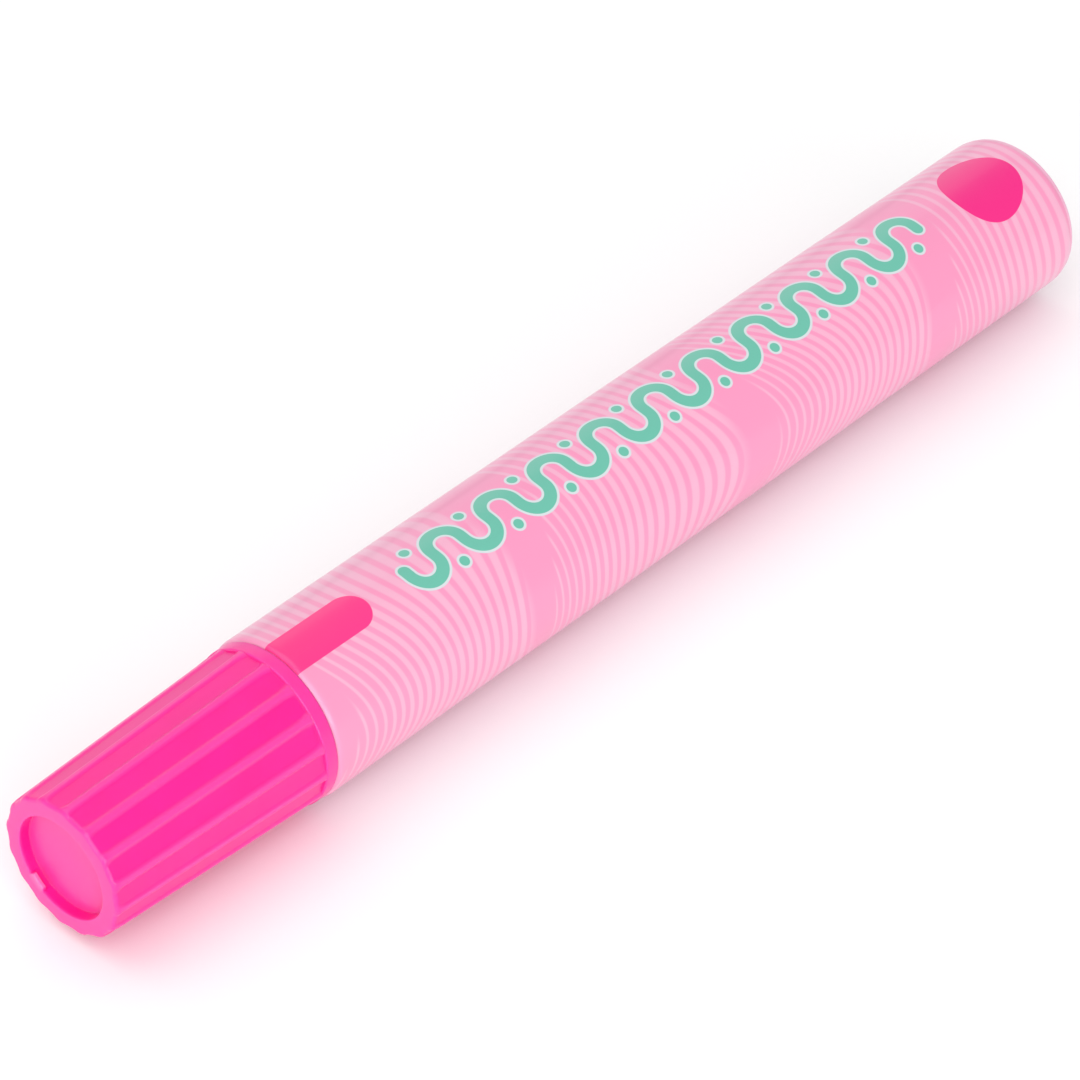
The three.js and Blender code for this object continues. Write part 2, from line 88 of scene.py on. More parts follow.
# Roundings of moulded edges and corners, in metres
HAIR, THIN, FINE, CRISP, EASED = 0.05 * MM, 0.08 * MM, 0.1 * MM, 0.15 * MM, 0.2 * MM
MILD, SOFT, PLUMP, FULL, BROAD = 0.25 * MM, 0.3 * MM, 0.4 * MM, 0.5 * MM, 0.6 * MM

# How finely round things are drawn
ARC_STEP = radians(12)
SIDES = 144
SMALL_SIDES = 72
FILM_SIDES = 240
NIB_SIDES = 220
SIDES_PER_RIB = 40
SHARP_ANGLE = radians(32)
CAP_SHARP_ANGLE = radians(62)

# Distances under which a point counts as being on the axis, or on another surface
ON_AXIS = 1e-7
TOUCH = 0.01 * MM

# Width, height and place of each light, in metres
LIGHTS = {
    "key": (1.6, 1.6, (-1.1, -0.9, 1.3)),
    "top": (1.6, 1.6, (-0.3, 0.5, 1.7)),
    "back": (2.2, 1.1, (1.0, 1.2, 0.75)),
    "front": (0.7, 0.7, (-1.6, -0.3, 0.5)),
    "low": (1.4, 0.5, (-0.7, -1.4, 0.35)),
}


def real(name, description, value, **kind):
    return FloatProperty(name=name, description=description, default=value, min=0, **kind)


def size(name, description, value):
    """A length in millimetres as a property in metres."""
    return real(name, description, value * MM, precision=5, unit="LENGTH")


def angle(name, description, value):
    return FloatProperty(name=name, description=description, default=radians(value), subtype="ANGLE")


def count(name, description, value):
    return IntProperty(name=name, description=description, default=value, min=1)


def colour(name, description, value):
    return FloatVectorProperty(
        name=name, description=description, default=value, min=0, max=1, size=3, subtype="COLOR"
    )


class FilmSettings(PropertyGroup):
    thickness: size("Thickness", "Thickness of the shrink film", 0.2)
    gap: size("Gap", "Play between the film and the barrel", 0.05)
    front_wrap: angle("Front Wrap", "How far the film turns over the barrel's shoulder", 52)
    base_wrap: angle("Base Wrap", "How far the film turns over the barrel's base corner", 75)
    ripple: size("Ripple", "Depth of the film's shallow waves", 0.05)
    lobe: size("Fan Length", "Mean length of one fan of stripes along the tube", 42)
    stripes: count("Stripes", "Stripes in one fan", 22)
    swing: size("Swing", "How far the fans' ends swing along the tube", 2)
    breathing: size("Breathing", "How far the fans' lengths differ round the tube", 3)
    bend: real("Bend", "How far the stripes bend, in stripes", 0.9)
    spread: real("Spread", "How far the stripes spread at a fan's start, in stripes", 1.6)
    thin: real("Thin", "Width of a stripe at a fan's start, as a share of its pitch", 0.28)
    thick: real("Thick", "Width of a stripe further on, as a share of its pitch", 0.6)
    motif_start: size("Motif Start", "Distance from the shoulder to the mint ribbon", 23)
    motif_turn: angle("Motif Turn", "Turn of the mint ribbon from the top towards -Y", 10.05)
    motif_bend: size("Motif Bend", "Distance from one stroke of the mint ribbon to the next", 5.2)
    motif_bends: count("Motif Bends", "Bends of the mint ribbon", 20)
    motif_straight: size("Motif Straight", "Half the straight part of each stroke", 0.5)
    motif_stroke: size("Motif Stroke", "Width of the mint ribbon", 1.8)
    motif_outline: size("Motif Outline", "Width of the pale outline round the mint print", 0.35)
    dot: size("Dot", "Diameter of the mint dots", 1.5)
    tab_length: size("Tab Length", "Length of the hot pink tab behind the cap", 15.4)
    tab_width: size("Tab Width", "Width of the hot pink tab", 6.3)
    tab_turn: angle("Tab Turn", "Turn of the hot pink tab from the top towards -Y", 9.3)
    badge_place: size("Badge Place", "Distance from the shoulder to the middle of the pebble", 141.7)
    badge_size: size("Badge Size", "Mean diameter of the hot pink pebble", 12.8)
    badge_turn: angle("Badge Turn", "Turn of the pebble from the top towards -Y", 12.7)
    ground: colour("Ground", "Pink of the film", (0.81, 0.270, 0.450))
    stripe: colour("Stripe", "Pale pink of the stripes", (0.795, 0.378, 0.526))
    tab: colour("Tab", "Pink of the tab", (0.87, 0.0235, 0.21))
    badge: colour("Badge", "Pink of the pebble", (0.79, 0.007, 0.203))
    mint: colour("Mint", "Mint of the ribbon and its dots", (0.125, 0.45, 0.345))
    outline: colour("Outline", "Pale tone round the mint print", (0.58, 0.64, 0.66))


class BarrelSettings(PropertyGroup):
    wall: size("Wall", "Thickness of the barrel's wall", 0.9)
    length: size("Length", "Length from the shoulder to the foot", 153.1)
    base_rounding: size("Base Rounding", "Radius of the corner at the base", 2.15)
    base_thickness: size("Base Thickness", "Thickness of the base", 1.4)
    inner_rounding: size("Inner Rounding", "Radius of the chamber's corner at the base", 1.2)
    foot_inset: size("Foot Inset", "Distance from the corner's rounding to the foot ring", 0.3)
    foot_height: size("Foot Height", "Height of the foot ring", 0.25)
    hollow_diameter: size("Hollow", "Diameter of the hollow inside the foot", 10)
    hollow_depth: size("Hollow Depth", "Depth of the hollow inside the foot", 0.6)
    shoulder_rounding: size("Shoulder Rounding", "Radius of the corner at the shoulder", 0.8)
    shoulder_thickness: size("Shoulder Thickness", "Thickness of the shoulder", 1.2)
    shoulder_width: size("Shoulder Width", "Width of the step from the barrel to the neck", 2.25)
    neck_wall: size("Neck Wall", "Thickness of the neck's wall", 1.1)
    neck_length: size("Neck Length", "Length of the neck", 11)
    bead_place: size("Bead Place", "Distance from the shoulder to the neck's snap bead", 5.6)
    bead_height: size("Bead Height", "Height of the snap bead", 0.25)
    bead_width: size("Bead Width", "Width of the snap bead", 1.2)
    tint: colour("Tint", "Pink of the barrel's plastic", (0.86, 0.42, 0.59))


class CapSettings(PropertyGroup):
    ribs: count("Ribs", "Ribs round the cap", 16)
    phase: angle("Phase", "Turn of the first rib from the top towards -Y", 6.5)
    rib_height: size("Rib Height", "Height of a rib over the corner of two panels", 0.18)
    crest_width: size("Crest Width", "Width of a rib at its crest", 0.5)
    foot_width: size("Foot Width", "Width of a rib at its foot", 1.7)
    crown: size("Crown", "How much a rib's crest is rounded", 0.12)
    rim_step: size("Rim Step", "How far the ribs lie under the rim ring before their flare", 0.03)
    wall: size("Wall", "Thickness of the panels at the cap's end", 1.5)
    ring_inset: size("Ring Inset", "How far the rim ring lies under the film", 0.28)
    ring_width: size("Ring Width", "Width of the rim ring", 2)
    flare: size("Flare", "Length over which the ribs flare out to the rim ring", 2.2)
    flare_spread: size("Flare Spread", "How much wider each side of a rib gets in its flare", 0.35)
    end_ease: size("End Ease", "Length over which the ribs spread and sink into the cap's end", 1.6)
    end_spread: size("End Spread", "How much wider each side of a rib gets at the cap's end", 0.45)
    edge: size("Edge", "Rounding of the cap's end edge", 0.6)
    recess_diameter: size("Recess", "Diameter of the recess in the cap's end", 15.1)
    recess_depth: size("Recess Depth", "Depth of the recess in the cap's end", 1.6)
    gate_turn: angle("Gate Turn", "Turn of the moulding gate's mark from the top towards +Y", 137.7)
    gate_width: size("Gate Width", "Width of the moulding gate's mark", 2.4)
    gate_reach: size("Gate Reach", "How far the gate's mark stands into the recess", 0.6)
    gate_depth: size("Gate Depth", "Depth of the gate's mark along the recess", 0.5)
    end_wall: size("End Wall", "Thickness between the recess and the hollow", 1.3)
    clearance: size("Clearance", "Play of the cap's bead over the neck's bead", 0.08)
    relief: size("Relief", "Depth of the hollow behind its bead", 0.17)
    bead_spacing: size("Bead Spacing", "Gap between the two snap beads along the tube", 0.8)
    liner_gap: size("Liner Gap", "Play between the liner and the cap's ceiling", 0.1)
    liner_disc: size("Liner Disc", "Thickness of the liner's disc", 0.8)
    liner_wall: size("Liner Wall", "Thickness of the liner's cup", 0.8)
    liner_room: size("Liner Room", "Play between the liner's cup and the nose", 0.2)
    liner_step: size("Liner Step", "How far the liner's disc stands out from its cup", 0.6)
    lip_length: size("Lip Length", "Length of the liner's sealing lip", 1.6)
    overlap: size("Overlap", "How far the liner's lip reaches over the nose", 4)
    tint: colour("Tint", "Hot pink of the cap", (0.88, 0.004, 0.268))
    # Painted light: paler pink painted on the cap's end, rim ring and rib crests, standing in for the light
    # and reflections they catch
    pale: colour("Pale", "Pink of the edges that let light through", (0.88, 0.043, 0.320))
    # Painted highlight: paler pink painted on the moulding gate's mark
    gate: colour("Gate", "Pale pink of the moulding gate's mark", (0.90, 0.15, 0.40))
    liner_tint: colour("Liner", "Milky white of the liner", (0.84, 0.80, 0.78))


class NozzleSettings(PropertyGroup):
    seat_gap: size("Seat Gap", "Play between pieces that are pressed or stacked together", 0.05)
    plug_length: size("Plug Length", "Length of the insert inside the neck", 9.5)
    plug_wall: size("Plug Wall", "Thickness of the insert's plug", 1.1)
    flange_inset: size("Flange Inset", "How far the flange lies under the neck's surface", 0.1)
    flange_thickness: size("Flange", "Thickness of the flange on the neck's mouth", 1.2)
    nose_length: size("Nose Length", "Length of the nose in front of the flange", 8.25)
    nose_diameter: size("Nose", "Diameter of the nose", 13.8)
    cone_step: size("Cone Step", "How much wider the nose is at its root", 0.7)
    cone_length: size("Cone Length", "Length of the cone at the nose's root", 1.8)
    cone_blend: size("Cone Blend", "Radius between the cone and the nose", 1)
    nose_rounding: size("Nose Rounding", "Radius of the nose's front edge", 0.6)
    web_depth: size("Web Depth", "Distance from the neck's mouth to the back of the valve seat", 1)
    web_thickness: size("Web", "Thickness of the valve seat", 1.5)
    seat_hole: size("Seat Hole", "Diameter of the hole in the valve seat", 6)
    clearance: size("Clearance", "Play of the holder in the nose", 0.05)
    holder_diameter: size("Holder", "Diameter of the nib's holder", 10.4)
    holder_wall: size("Holder Wall", "Thickness of the holder's wall", 0.8)
    holder_web: size("Holder Web", "Thickness of the holder's web", 1.2)
    holder_web_depth: size("Holder Web Depth", "Distance from the nose's front to the holder's web", 2.9)
    holder_room: size("Holder Room", "Room behind the holder when the nib is pressed", 0.3)
    collar_inset: size("Collar Inset", "How far the stop collar lies inside the nose's outline", 0.7)
    collar: size("Collar", "Thickness of the stop collar", 1.4)
    collar_edge: size("Collar Edge", "Rounding of the collar's front edge", 0.45)
    hub_wall: size("Hub Wall", "Thickness of the hub round the stem", 0.95)
    holes: count("Flow Holes", "Flow holes in the holder's web", 6)
    hole: size("Flow Hole", "Diameter of a flow hole", 1.1)
    nib_out: size("Nib", "How far the nib stands out of its collar", 4.4)
    nib_dome: size("Nib Dome", "Height of the nib's dome", 3.6)
    pore: size("Pore", "Mean distance between the foam's pores", 0.42)
    pore_depth: size("Pore Depth", "Depth of the foam's pores", 0.11)
    plastic: colour("Plastic", "White of the insert and the holder", (0.76, 0.745, 0.715))
    foam: colour("Foam", "Cream of the nib's foam", (0.86, 0.77, 0.56))


class ValveSettings(PropertyGroup):
    travel: size("Travel", "How far the nib presses in", 2.5)
    stem: size("Stem", "Diameter of the stem", 3)
    head: size("Head", "Diameter of the valve's head", 8.8)
    head_thickness: size("Head Thickness", "Thickness of the valve's head", 1.2)
    guide_length: size("Guide Length", "Length of the spring's guide", 2.9)
    guide_rounding: size("Guide Rounding", "Rounding of the guide's tip", 0.35)
    guide_clearance: size("Guide Clearance", "Play between the guide and the spring", 0.3)
    gasket_inset: size("Gasket Inset", "How far the gasket lies inside the head's outline", 0.2)
    gasket: size("Gasket", "Thickness of the gasket", 0.8)
    cage_wall: size("Cage Wall", "Thickness of the spring cage's wall", 0.9)
    cage_gap: size("Cage Gap", "Distance from the valve seat to the cage", 0.6)
    cage_flange_inset: size("Cage Flange Inset", "How far the cage's flange lies inside the plug", 0.15)
    cage_flange: size("Cage Flange", "Thickness of the cage's flange", 1)
    cage_tail: size("Cage Tail", "Length of the cage behind its flange", 2.45)
    cage_floor: size("Cage Floor", "Thickness of the cage's floor", 1)
    cage_hole: size("Cage Hole", "Diameter of the hole in the cage's floor", 2.4)
    windows: count("Windows", "Windows round the cage", 4)
    window: size("Window", "Width of a window", 3)
    window_margin: size("Window Margin", "Wall left before and behind a window", 0.25)
    wire: size("Wire", "Diameter of the spring's wire", 0.6)
    spring: size("Spring", "Mean diameter of the spring", 6)
    turns: count("Turns", "Turns of the spring", 6)
    end_pitch: size("End Pitch", "Pitch of the spring's two end turns", 1.1)
    air: size("Air", "Depth of the air above the level glue", 2.7)
    glue_gap: size("Glue Gap", "Play between the glue and the chamber's wall", 0.05)
    glue_end_gap: size("Glue End Gap", "Play between the glue and the chamber's ends", 0.3)
    meniscus: size("Meniscus", "How far the glue climbs up the wall", 0.5)
    plastic: colour("Plastic", "Natural plastic of the stem and the cage", (0.82, 0.79, 0.73))
    rubber: colour("Rubber", "Soft gasket", (0.70, 0.66, 0.58))
    steel: colour("Steel", "Spring steel", (0.60, 0.61, 0.63))
    glue: colour("Glue", "Clear glue", (0.90, 0.89, 0.84))


class StageSettings(PropertyGroup):
    lens: real("Lens", "Focal length of the camera in millimetres", 171.2)
    azimuth: angle("Azimuth", "Direction that the camera stands in, from -Y towards +X", -47.39)
    elevation: angle("Elevation", "Height of the camera over the horizon", 39.63)
    distance: size("Distance", "Depth of the cap's end in front of the camera", 643.56)
    aside: size("Aside", "How far the cap's end lies left of the picture's middle", 60.08)
    below: size("Below", "How far the cap's end lies under the picture's middle", 41.17)
    floor_size: size("Floor Size", "Side of the floor", 8000)
    floor: colour("Floor", "Pale tone of the floor", (0.93, 0.93, 0.93))
    world: real("World", "Strength of the plain surroundings", 0.55)
    key: real("Key", "Power of the main light", 15.5, unit="POWER")
    top: real("Top", "Power of the light overhead", 10, unit="POWER")
    back: real("Back", "Power of the light behind", 5.3, unit="POWER")
    front: real("Front", "Power of the light before the cap", 4, unit="POWER")
    low: real("Low", "Power of the low light at the side", 9, unit="POWER")


def derived(scene):
    """Radii and places that follow from the sizes. Places run along the tube from the shoulder."""
    film, barrel, cap = scene.tube_film, scene.tube_barrel, scene.tube_cap
    nozzle, valve = scene.tube_nozzle, scene.tube_valve
    d = SimpleNamespace()
    d.shoulder = BARREL_END - barrel.length
    d.barrel = FILM_RADIUS - film.thickness - film.gap
    d.chamber = d.barrel - barrel.wall
    d.foot = d.barrel - barrel.base_rounding - barrel.foot_inset
    d.base = barrel.length - barrel.foot_height
    d.chamber_end = d.base - barrel.base_thickness
    d.neck = d.barrel - barrel.shoulder_width
    d.neck_bore = d.neck - barrel.neck_wall
    inner_slope = 0.35
    d.chamber_start = barrel.shoulder_thickness + inner_slope * (d.chamber - d.neck_bore)
    d.neck_mouth = -barrel.neck_length
    d.plug = d.neck_bore - nozzle.seat_gap
    d.plug_bore = d.plug - nozzle.plug_wall
    d.plug_end = d.neck_mouth + nozzle.plug_length
    d.flange_rear = d.neck_mouth - nozzle.seat_gap
    d.flange_front = d.flange_rear - nozzle.flange_thickness
    d.nose = nozzle.nose_diameter / 2
    d.nose_end = d.flange_front - nozzle.nose_length
    d.web_rear = d.neck_mouth + nozzle.web_depth
    d.web_front = d.web_rear - nozzle.web_thickness
    d.holder = nozzle.holder_diameter / 2
    d.cup = d.holder - nozzle.holder_wall
    d.collar = d.nose - nozzle.collar_inset
    d.collar_rear = d.nose_end - valve.travel - nozzle.seat_gap
    d.collar_front = d.collar_rear - nozzle.collar
    d.holder_web_front = d.nose_end + nozzle.holder_web_depth
    d.holder_web_rear = d.holder_web_front + nozzle.holder_web
    d.holder_rear = d.web_front - valve.travel - nozzle.holder_room
    d.nib_tip = d.collar_front - nozzle.nib_out
    d.stem = valve.stem / 2
    d.hub_bore = d.stem + nozzle.seat_gap
    d.hub = d.hub_bore + nozzle.hub_wall
    d.gasket_front = d.web_rear + nozzle.seat_gap
    d.gasket_rear = d.gasket_front + valve.gasket
    d.head_front = d.gasket_rear + nozzle.seat_gap
    d.head_rear = d.head_front + valve.head_thickness
    d.cage = d.plug_bore - nozzle.seat_gap
    d.cage_inner = d.cage - valve.cage_wall
    d.cage_flange_front = d.plug_end + nozzle.seat_gap
    d.cage_flange_rear = d.cage_flange_front + valve.cage_flange
    d.cage_floor_front = d.cage_flange_rear + valve.cage_tail
    d.cage_rear = d.cage_floor_front + valve.cage_floor
    d.spring_front = d.head_rear + nozzle.seat_gap
    d.spring_rear = d.cage_floor_front - nozzle.seat_gap
    d.cap_mouth = CAP_HIGH.x - d.shoulder
    d.cap_end = CAP_LOW.x - d.shoulder
    d.cap_ceiling = d.cap_end + cap.recess_depth + cap.end_wall
    d.ring = FILM_RADIUS - cap.ring_inset
    d.ring_front = d.cap_mouth - cap.ring_width
    d.cap_seat = d.neck + barrel.bead_height + cap.clearance + cap.relief
    d.liner_bore = d.nose + cap.liner_room
    d.liner = d.liner_bore + cap.liner_wall
    d.ceiling = d.liner + cap.liner_step
    d.half_pitch = pi / cap.ribs
    d.tip_crest = (d.ceiling + cap.wall + cap.rib_height) / cos(d.half_pitch)
    d.rim_crest = d.ring - cap.rim_step
    return d


# Outlines and meshes

def arc(centre, radius, start, sweep):
    """The points of an arc round a centre, from an angle over another angle."""
    steps = max(2, ceil(abs(sweep) / ARC_STEP))
    turns = [start + sweep * k / steps for k in range(steps + 1)]
    return [centre + Vector((cos(turn), sin(turn))) * radius for turn in turns]


def rounded(corners, closed=False):
    """The points of an outline whose corners are (along, radius, rounding), each rounded by an arc."""
    points = []
    for i, (along, radius, rounding) in enumerate(corners):
        here = Vector((along, radius))
        if rounding == 0 or (not closed and i in (0, len(corners) - 1)):
            points.append(here)
            continue
        before = Vector(corners[i - 1][:2]) - here
        after = Vector(corners[(i + 1) % len(corners)][:2]) - here
        opening = before.angle(after)
        reach = min(rounding / tan(opening / 2), 0.49 * before.length, 0.49 * after.length)
        radius_used = reach * tan(opening / 2)
        middle = (before.normalized() + after.normalized()).normalized()
        centre = here + middle * hypot(reach, radius_used)
        first = here + before.normalized() * reach - centre
        last = here + after.normalized() * reach - centre
        start = atan2(first.y, first.x)
        sweep = (atan2(last.y, last.x) - start + pi) % (2 * pi) - pi
        points += arc(centre, radius_used, start, sweep)
    return points


def bead(place, radius, height, width):
    """The corners of a rounded snap bead on a wall at a radius, from its rear foot to its front foot."""
    foot, top = width / 2, width / 5
    soft = abs(height)
    return [
        (place + foot, radius, soft),
        (place + top, radius + height, soft),
        (place - top, radius + height, soft),
        (place - foot, radius, soft),
    ]


def bridge(shape, first, second):
    """Joins two rings of vertices with faces. A ring may be one vertex on the axis."""
    sides = max(len(first), len(second))
    for j in range(sides):
        k = (j + 1) % sides
        near = first[j % len(first)], second[j % len(second)]
        far = second[k % len(second)], first[k % len(first)]
        shape.faces.new(dict.fromkeys(near + far))


def add(name, mesh):
    made = bpy.data.objects.new(name, mesh)
    bpy.context.scene.collection.objects.link(made)
    return made


def add_shape(name, shape):
    """Makes an object from a bmesh, with its faces outwards."""
    bmesh.ops.recalc_face_normals(shape, faces=shape.faces)
    mesh = bpy.data.meshes.new(name)
    shape.to_mesh(mesh)
    shape.free()
    return add(name, mesh)


def revolve(name, outline, shoulder, sides=SIDES):
    """A closed round object from (along, radius) points, which end on the axis or form a loop."""
    shape = bmesh.new()
    turns = [2 * pi * j / sides for j in range(sides)]
    rings = []
    for along, radius in outline:
        points = [(0, AXIS)]
        if radius > ON_AXIS:
            points = [(-radius * sin(turn), AXIS - radius * cos(turn)) for turn in turns]
        rings.append([shape.verts.new((shoulder + along, y, z)) for y, z in points])
    for first, second in zip(rings, rings[1:]):
        bridge(shape, first, second)
    if len(rings[0]) > 1:
        bridge(shape, rings[-1], rings[0])
    return add_shape(name, shape)


def bake(piece):
    """Turns the piece's modifiers into plain mesh."""
    evaluated = piece.evaluated_get(bpy.context.evaluated_depsgraph_get())
    plain = bpy.data.meshes.new_from_object(evaluated)
    piece.modifiers.clear()
    old, piece.data = piece.data, plain
    bpy.data.meshes.remove(old)
    plain.name = piece.name


def settle(piece, sharp_angle=SHARP_ANGLE):
    """Makes the piece plain mesh, with smooth faces between its sharp edges."""
    bake(piece)
    piece.data.shade_smooth()
    piece.data.set_sharp_from_angle(angle=sharp_angle)


def weigh_normals(piece):
    """Keeps large flat faces flat in shading, next to small roundings."""
    weighted = piece.modifiers.new("Weighted normals", "WEIGHTED_NORMAL")
    weighted.keep_sharp = True
    bake(piece)


def turned(name, corners, shoulder, sides=SIDES, closed=False):
    """A round moulding from the corners of its outline, ready for its finish."""
    piece = revolve(name, rounded(corners, closed), shoulder, sides)
    settle(piece)
    weigh_normals(piece)
    return piece


def hand_over(piece, body, node_name, finish=None):
    """Gives the piece its finish and body, and hides the CAD node that it stands for."""
    if finish:
        piece.data.materials.clear()
        piece.data.materials.append(finish)
    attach(piece, body)
    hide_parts(node_name)


# Node trees written as plain arithmetic

class Signal:
    """A node's output, which adds Math nodes when it takes part in arithmetic."""

    def __init__(self, tree, socket):
        self.tree = tree
        self.socket = socket

    def __add__(self, other):
        return math("ADD", self, other)

    def __sub__(self, other):
        return math("SUBTRACT", self, other)

    def __rsub__(self, other):
        return math("SUBTRACT", other, self)

    def __mul__(self, other):
        return math("MULTIPLY", self, other)

    def __truediv__(self, other):
        return math("DIVIDE", self, other)

    def __rtruediv__(self, other):
        return math("DIVIDE", other, self)

    __radd__ = __add__
    __rmul__ = __mul__

    def sine(self):
        return math("SINE", self)

    def cosine(self):
        return math("COSINE", self)

    def magnitude(self):
        return math("ABSOLUTE", self)

    def least(self, other):
        return math("MINIMUM", self, other)

    def most(self, other):
        return math("MAXIMUM", self, other)

    def above(self, other):
        return math("GREATER_THAN", self, other)

    def below(self, other):
        return math("LESS_THAN", self, other)

    def wrapped(self, low, high):
        return math("WRAP", self, high, low)

    def limited(self):
        return math("ADD", self, 0.0, clamp=True)


def feed(socket, value):
    """Links a signal to a socket, or sets the socket to a plain value."""
    if isinstance(value, Signal):
        value.tree.links.new(value.socket, socket)
    else:
        socket.default_value = value


def node(tree, kind, *values, output=0, settings=None, **inputs):
    """Adds a node with its inputs, in order or by name, and gives one of its outputs as a signal."""
    made = tree.nodes.new(kind)
    for key, setting in (settings or {}).items():
        setattr(made, key, setting)
    for socket, value in zip(made.inputs, values):
        feed(socket, value)
    for name, value in inputs.items():
        feed(made.inputs[name.replace("_", " ")], value)
    return Signal(tree, made.outputs[output])


def tree_of(values):
    return next(value.tree for value in values if isinstance(value, Signal))


def math(operation, *values, clamp=False):
    settings = {"operation": operation, "use_clamp": clamp}
    return node(tree_of(values), "ShaderNodeMath", *values, settings=settings)


def distance(x, y):
    return math("SQRT", x * x + y * y)


def ramp(value, low, high):
    """0 below low, 1 above high and a smooth step between."""
    settings = {"interpolation_type": "SMOOTHSTEP"}
    return node(
        value.tree, "ShaderNodeMapRange", output="Result", settings=settings,
        Value=value, From_Min=low, From_Max=high,
    )


def mixed(amount, first, second):
    """Arithmetic mix of two numbers or signals."""
    return (second - first) * amount + first


def separated(vector):
    made = vector.tree.nodes.new("ShaderNodeSeparateXYZ")
    feed(made.inputs[0], vector)
    return [Signal(vector.tree, output) for output in made.outputs]


def combined(*values):
    return node(tree_of(values), "ShaderNodeCombineXYZ", *values)


def stretched(place, scale, rotation=(0.0, 0.0, 0.0)):
    """Coordinates for a pattern that runs longer one way than the others."""
    return node(place.tree, "ShaderNodeMapping", Vector=place, Rotation=rotation, Scale=scale)


def noise(place, scale, detail=2.0, roughness=0.5):
    inputs = {"Vector": place, "Scale": scale, "Detail": detail, "Roughness": roughness}
    return node(place.tree, "ShaderNodeTexNoise", output="Fac", **inputs)


def cells(place, scale):
    return node(place.tree, "ShaderNodeTexVoronoi", output="Distance", Vector=place, Scale=scale)


def darkened(tint, amount):
    return tuple(amount * channel for channel in tint)


def tinted(amount, first, second):
    """Colour mix: first where amount is 0 and second where it is 1. A colour is a tuple or a signal."""
    mix = amount.tree.nodes.new("ShaderNodeMix")
    mix.data_type = "RGBA"
    feed(mix.inputs["Factor"], amount)
    # Sockets 6 and 7 and output 2 of this node are those for colours
    for socket, value in zip(mix.inputs[6:8], (first, second)):
        feed(socket, value if isinstance(value, Signal) else (*value, 1))
    return Signal(amount.tree, mix.outputs[2])


class Finish:
    """A material with one Principled shader, whose fixed numbers sit on the shader's own sockets."""

    def __init__(self, name, **fixed):
        self.material = bpy.data.materials.new(name)
        self.material.use_nodes = True
        tree = self.material.node_tree
        self.shader = next(made for made in tree.nodes if made.type == "BSDF_PRINCIPLED")
        self.place = node(tree, "ShaderNodeTexCoord", output="Object")
        self.set(**fixed)

    def set(self, **values):
        for name, value in values.items():
            feed(self.shader.inputs[name.replace("_", " ")], value)

    def relief(self, height, depth):
        """Fine relief: height runs from 0 to 1 and depth is its real size in metres."""
        self.set(Normal=node(height.tree, "ShaderNodeBump", Height=height, Distance=depth))


def moulded(name, tint, roughness, grain=0.006 * MM, clear=0.0):
    """Moulded plastic: faint clouds in its colour, uneven gloss and a very fine grain."""
    finish = Finish(
        name, Subsurface_Weight=clear, Subsurface_Radius=(1.0, 0.75, 0.6), Subsurface_Scale=2 * MM
    )
    clouds = ramp(noise(finish.place, scale=110.0, detail=3.0), 0.3, 0.7)
    gloss = noise(finish.place, scale=420.0, detail=4.0, roughness=0.6)
    spread = 0.07
    finish.set(
        Base_Color=tinted(clouds, darkened(tint, 0.93), tint),
        Roughness=mixed(gloss, roughness - spread, roughness + spread),
    )
    finish.relief(noise(finish.place, scale=5200.0) * 0.6 + gloss * 0.4, grain)
    return finish.material


# The film and its print

def stripe_fans(film, along, around):
    """How much of a pale stripe lies at each place: fans of curved stripes between plain bands.

    The numbers that are added inside a sine or cosine only shift it, so that the fans differ.
    """
    lobe = film.lobe / MM
    turn = around * (MM / FILM_RADIUS)
    twice = turn * 2.0
    swing = ((turn + 0.9).sine() + (twice + 2.96).sine()) * (film.swing / MM)
    breathing = (along * (pi / lobe) + 0.7).sine() * (twice + 0.4).cosine() * (film.breathing / MM)
    fans = (along + swing + breathing) / lobe + 2.0
    number, inside = math("FLOOR", fans), math("FRACT", fans)
    slant = (turn - 0.75 + (number * 2.1).sine() * 0.3).sine()

    bend = (twice + number * 2.4 + 1.1).sine() * film.bend
    sweep = (turn + number * 1.7).cosine() * film.bend
    spread = (1.0 - inside) * (1.0 - inside) * slant * film.spread
    widening = 1.2 - inside * 0.2
    phase = inside * widening * float(film.stripes) + bend + sweep - spread
    across = (math("FRACT", phase) - 0.5).magnitude() * 2.0
    ground = 1.0 - mixed(ramp(inside, 0.0, 0.45), film.thin, film.thick)
    line = ramp(across, ground - 0.14, ground + 0.20)

    # The plain bands take a few hundredths of a fan at its start and at its end
    band_start = 0.045 - slant * 0.040
    wave = (turn - 0.7 + (number * 1.3).sine() * 0.5).cosine()
    band_end = 1.0 - (wave * 0.055 + 0.085)
    begun = ramp(inside, band_start, band_start + 0.025)
    ended = ramp(inside, band_end - 0.02, band_end + 0.05)
    return line * (begun * (1.0 - ended))


def capsule(along, around, end, width):
    """Distance to a band with a round end that starts before the film and stops at a place along it."""
    past = (along - (end - width / 2)).most(0.0)
    return distance(past, around) - width / 2


def pebble(along, around, radius):
    """Distance to a softly three-cornered pebble."""
    turn = math("ARCTAN2", around, along)
    corners, depth = 3.0, 0.028
    return distance(along, around) - ((turn * corners + 0.1).cosine() * depth + 1.0) * radius


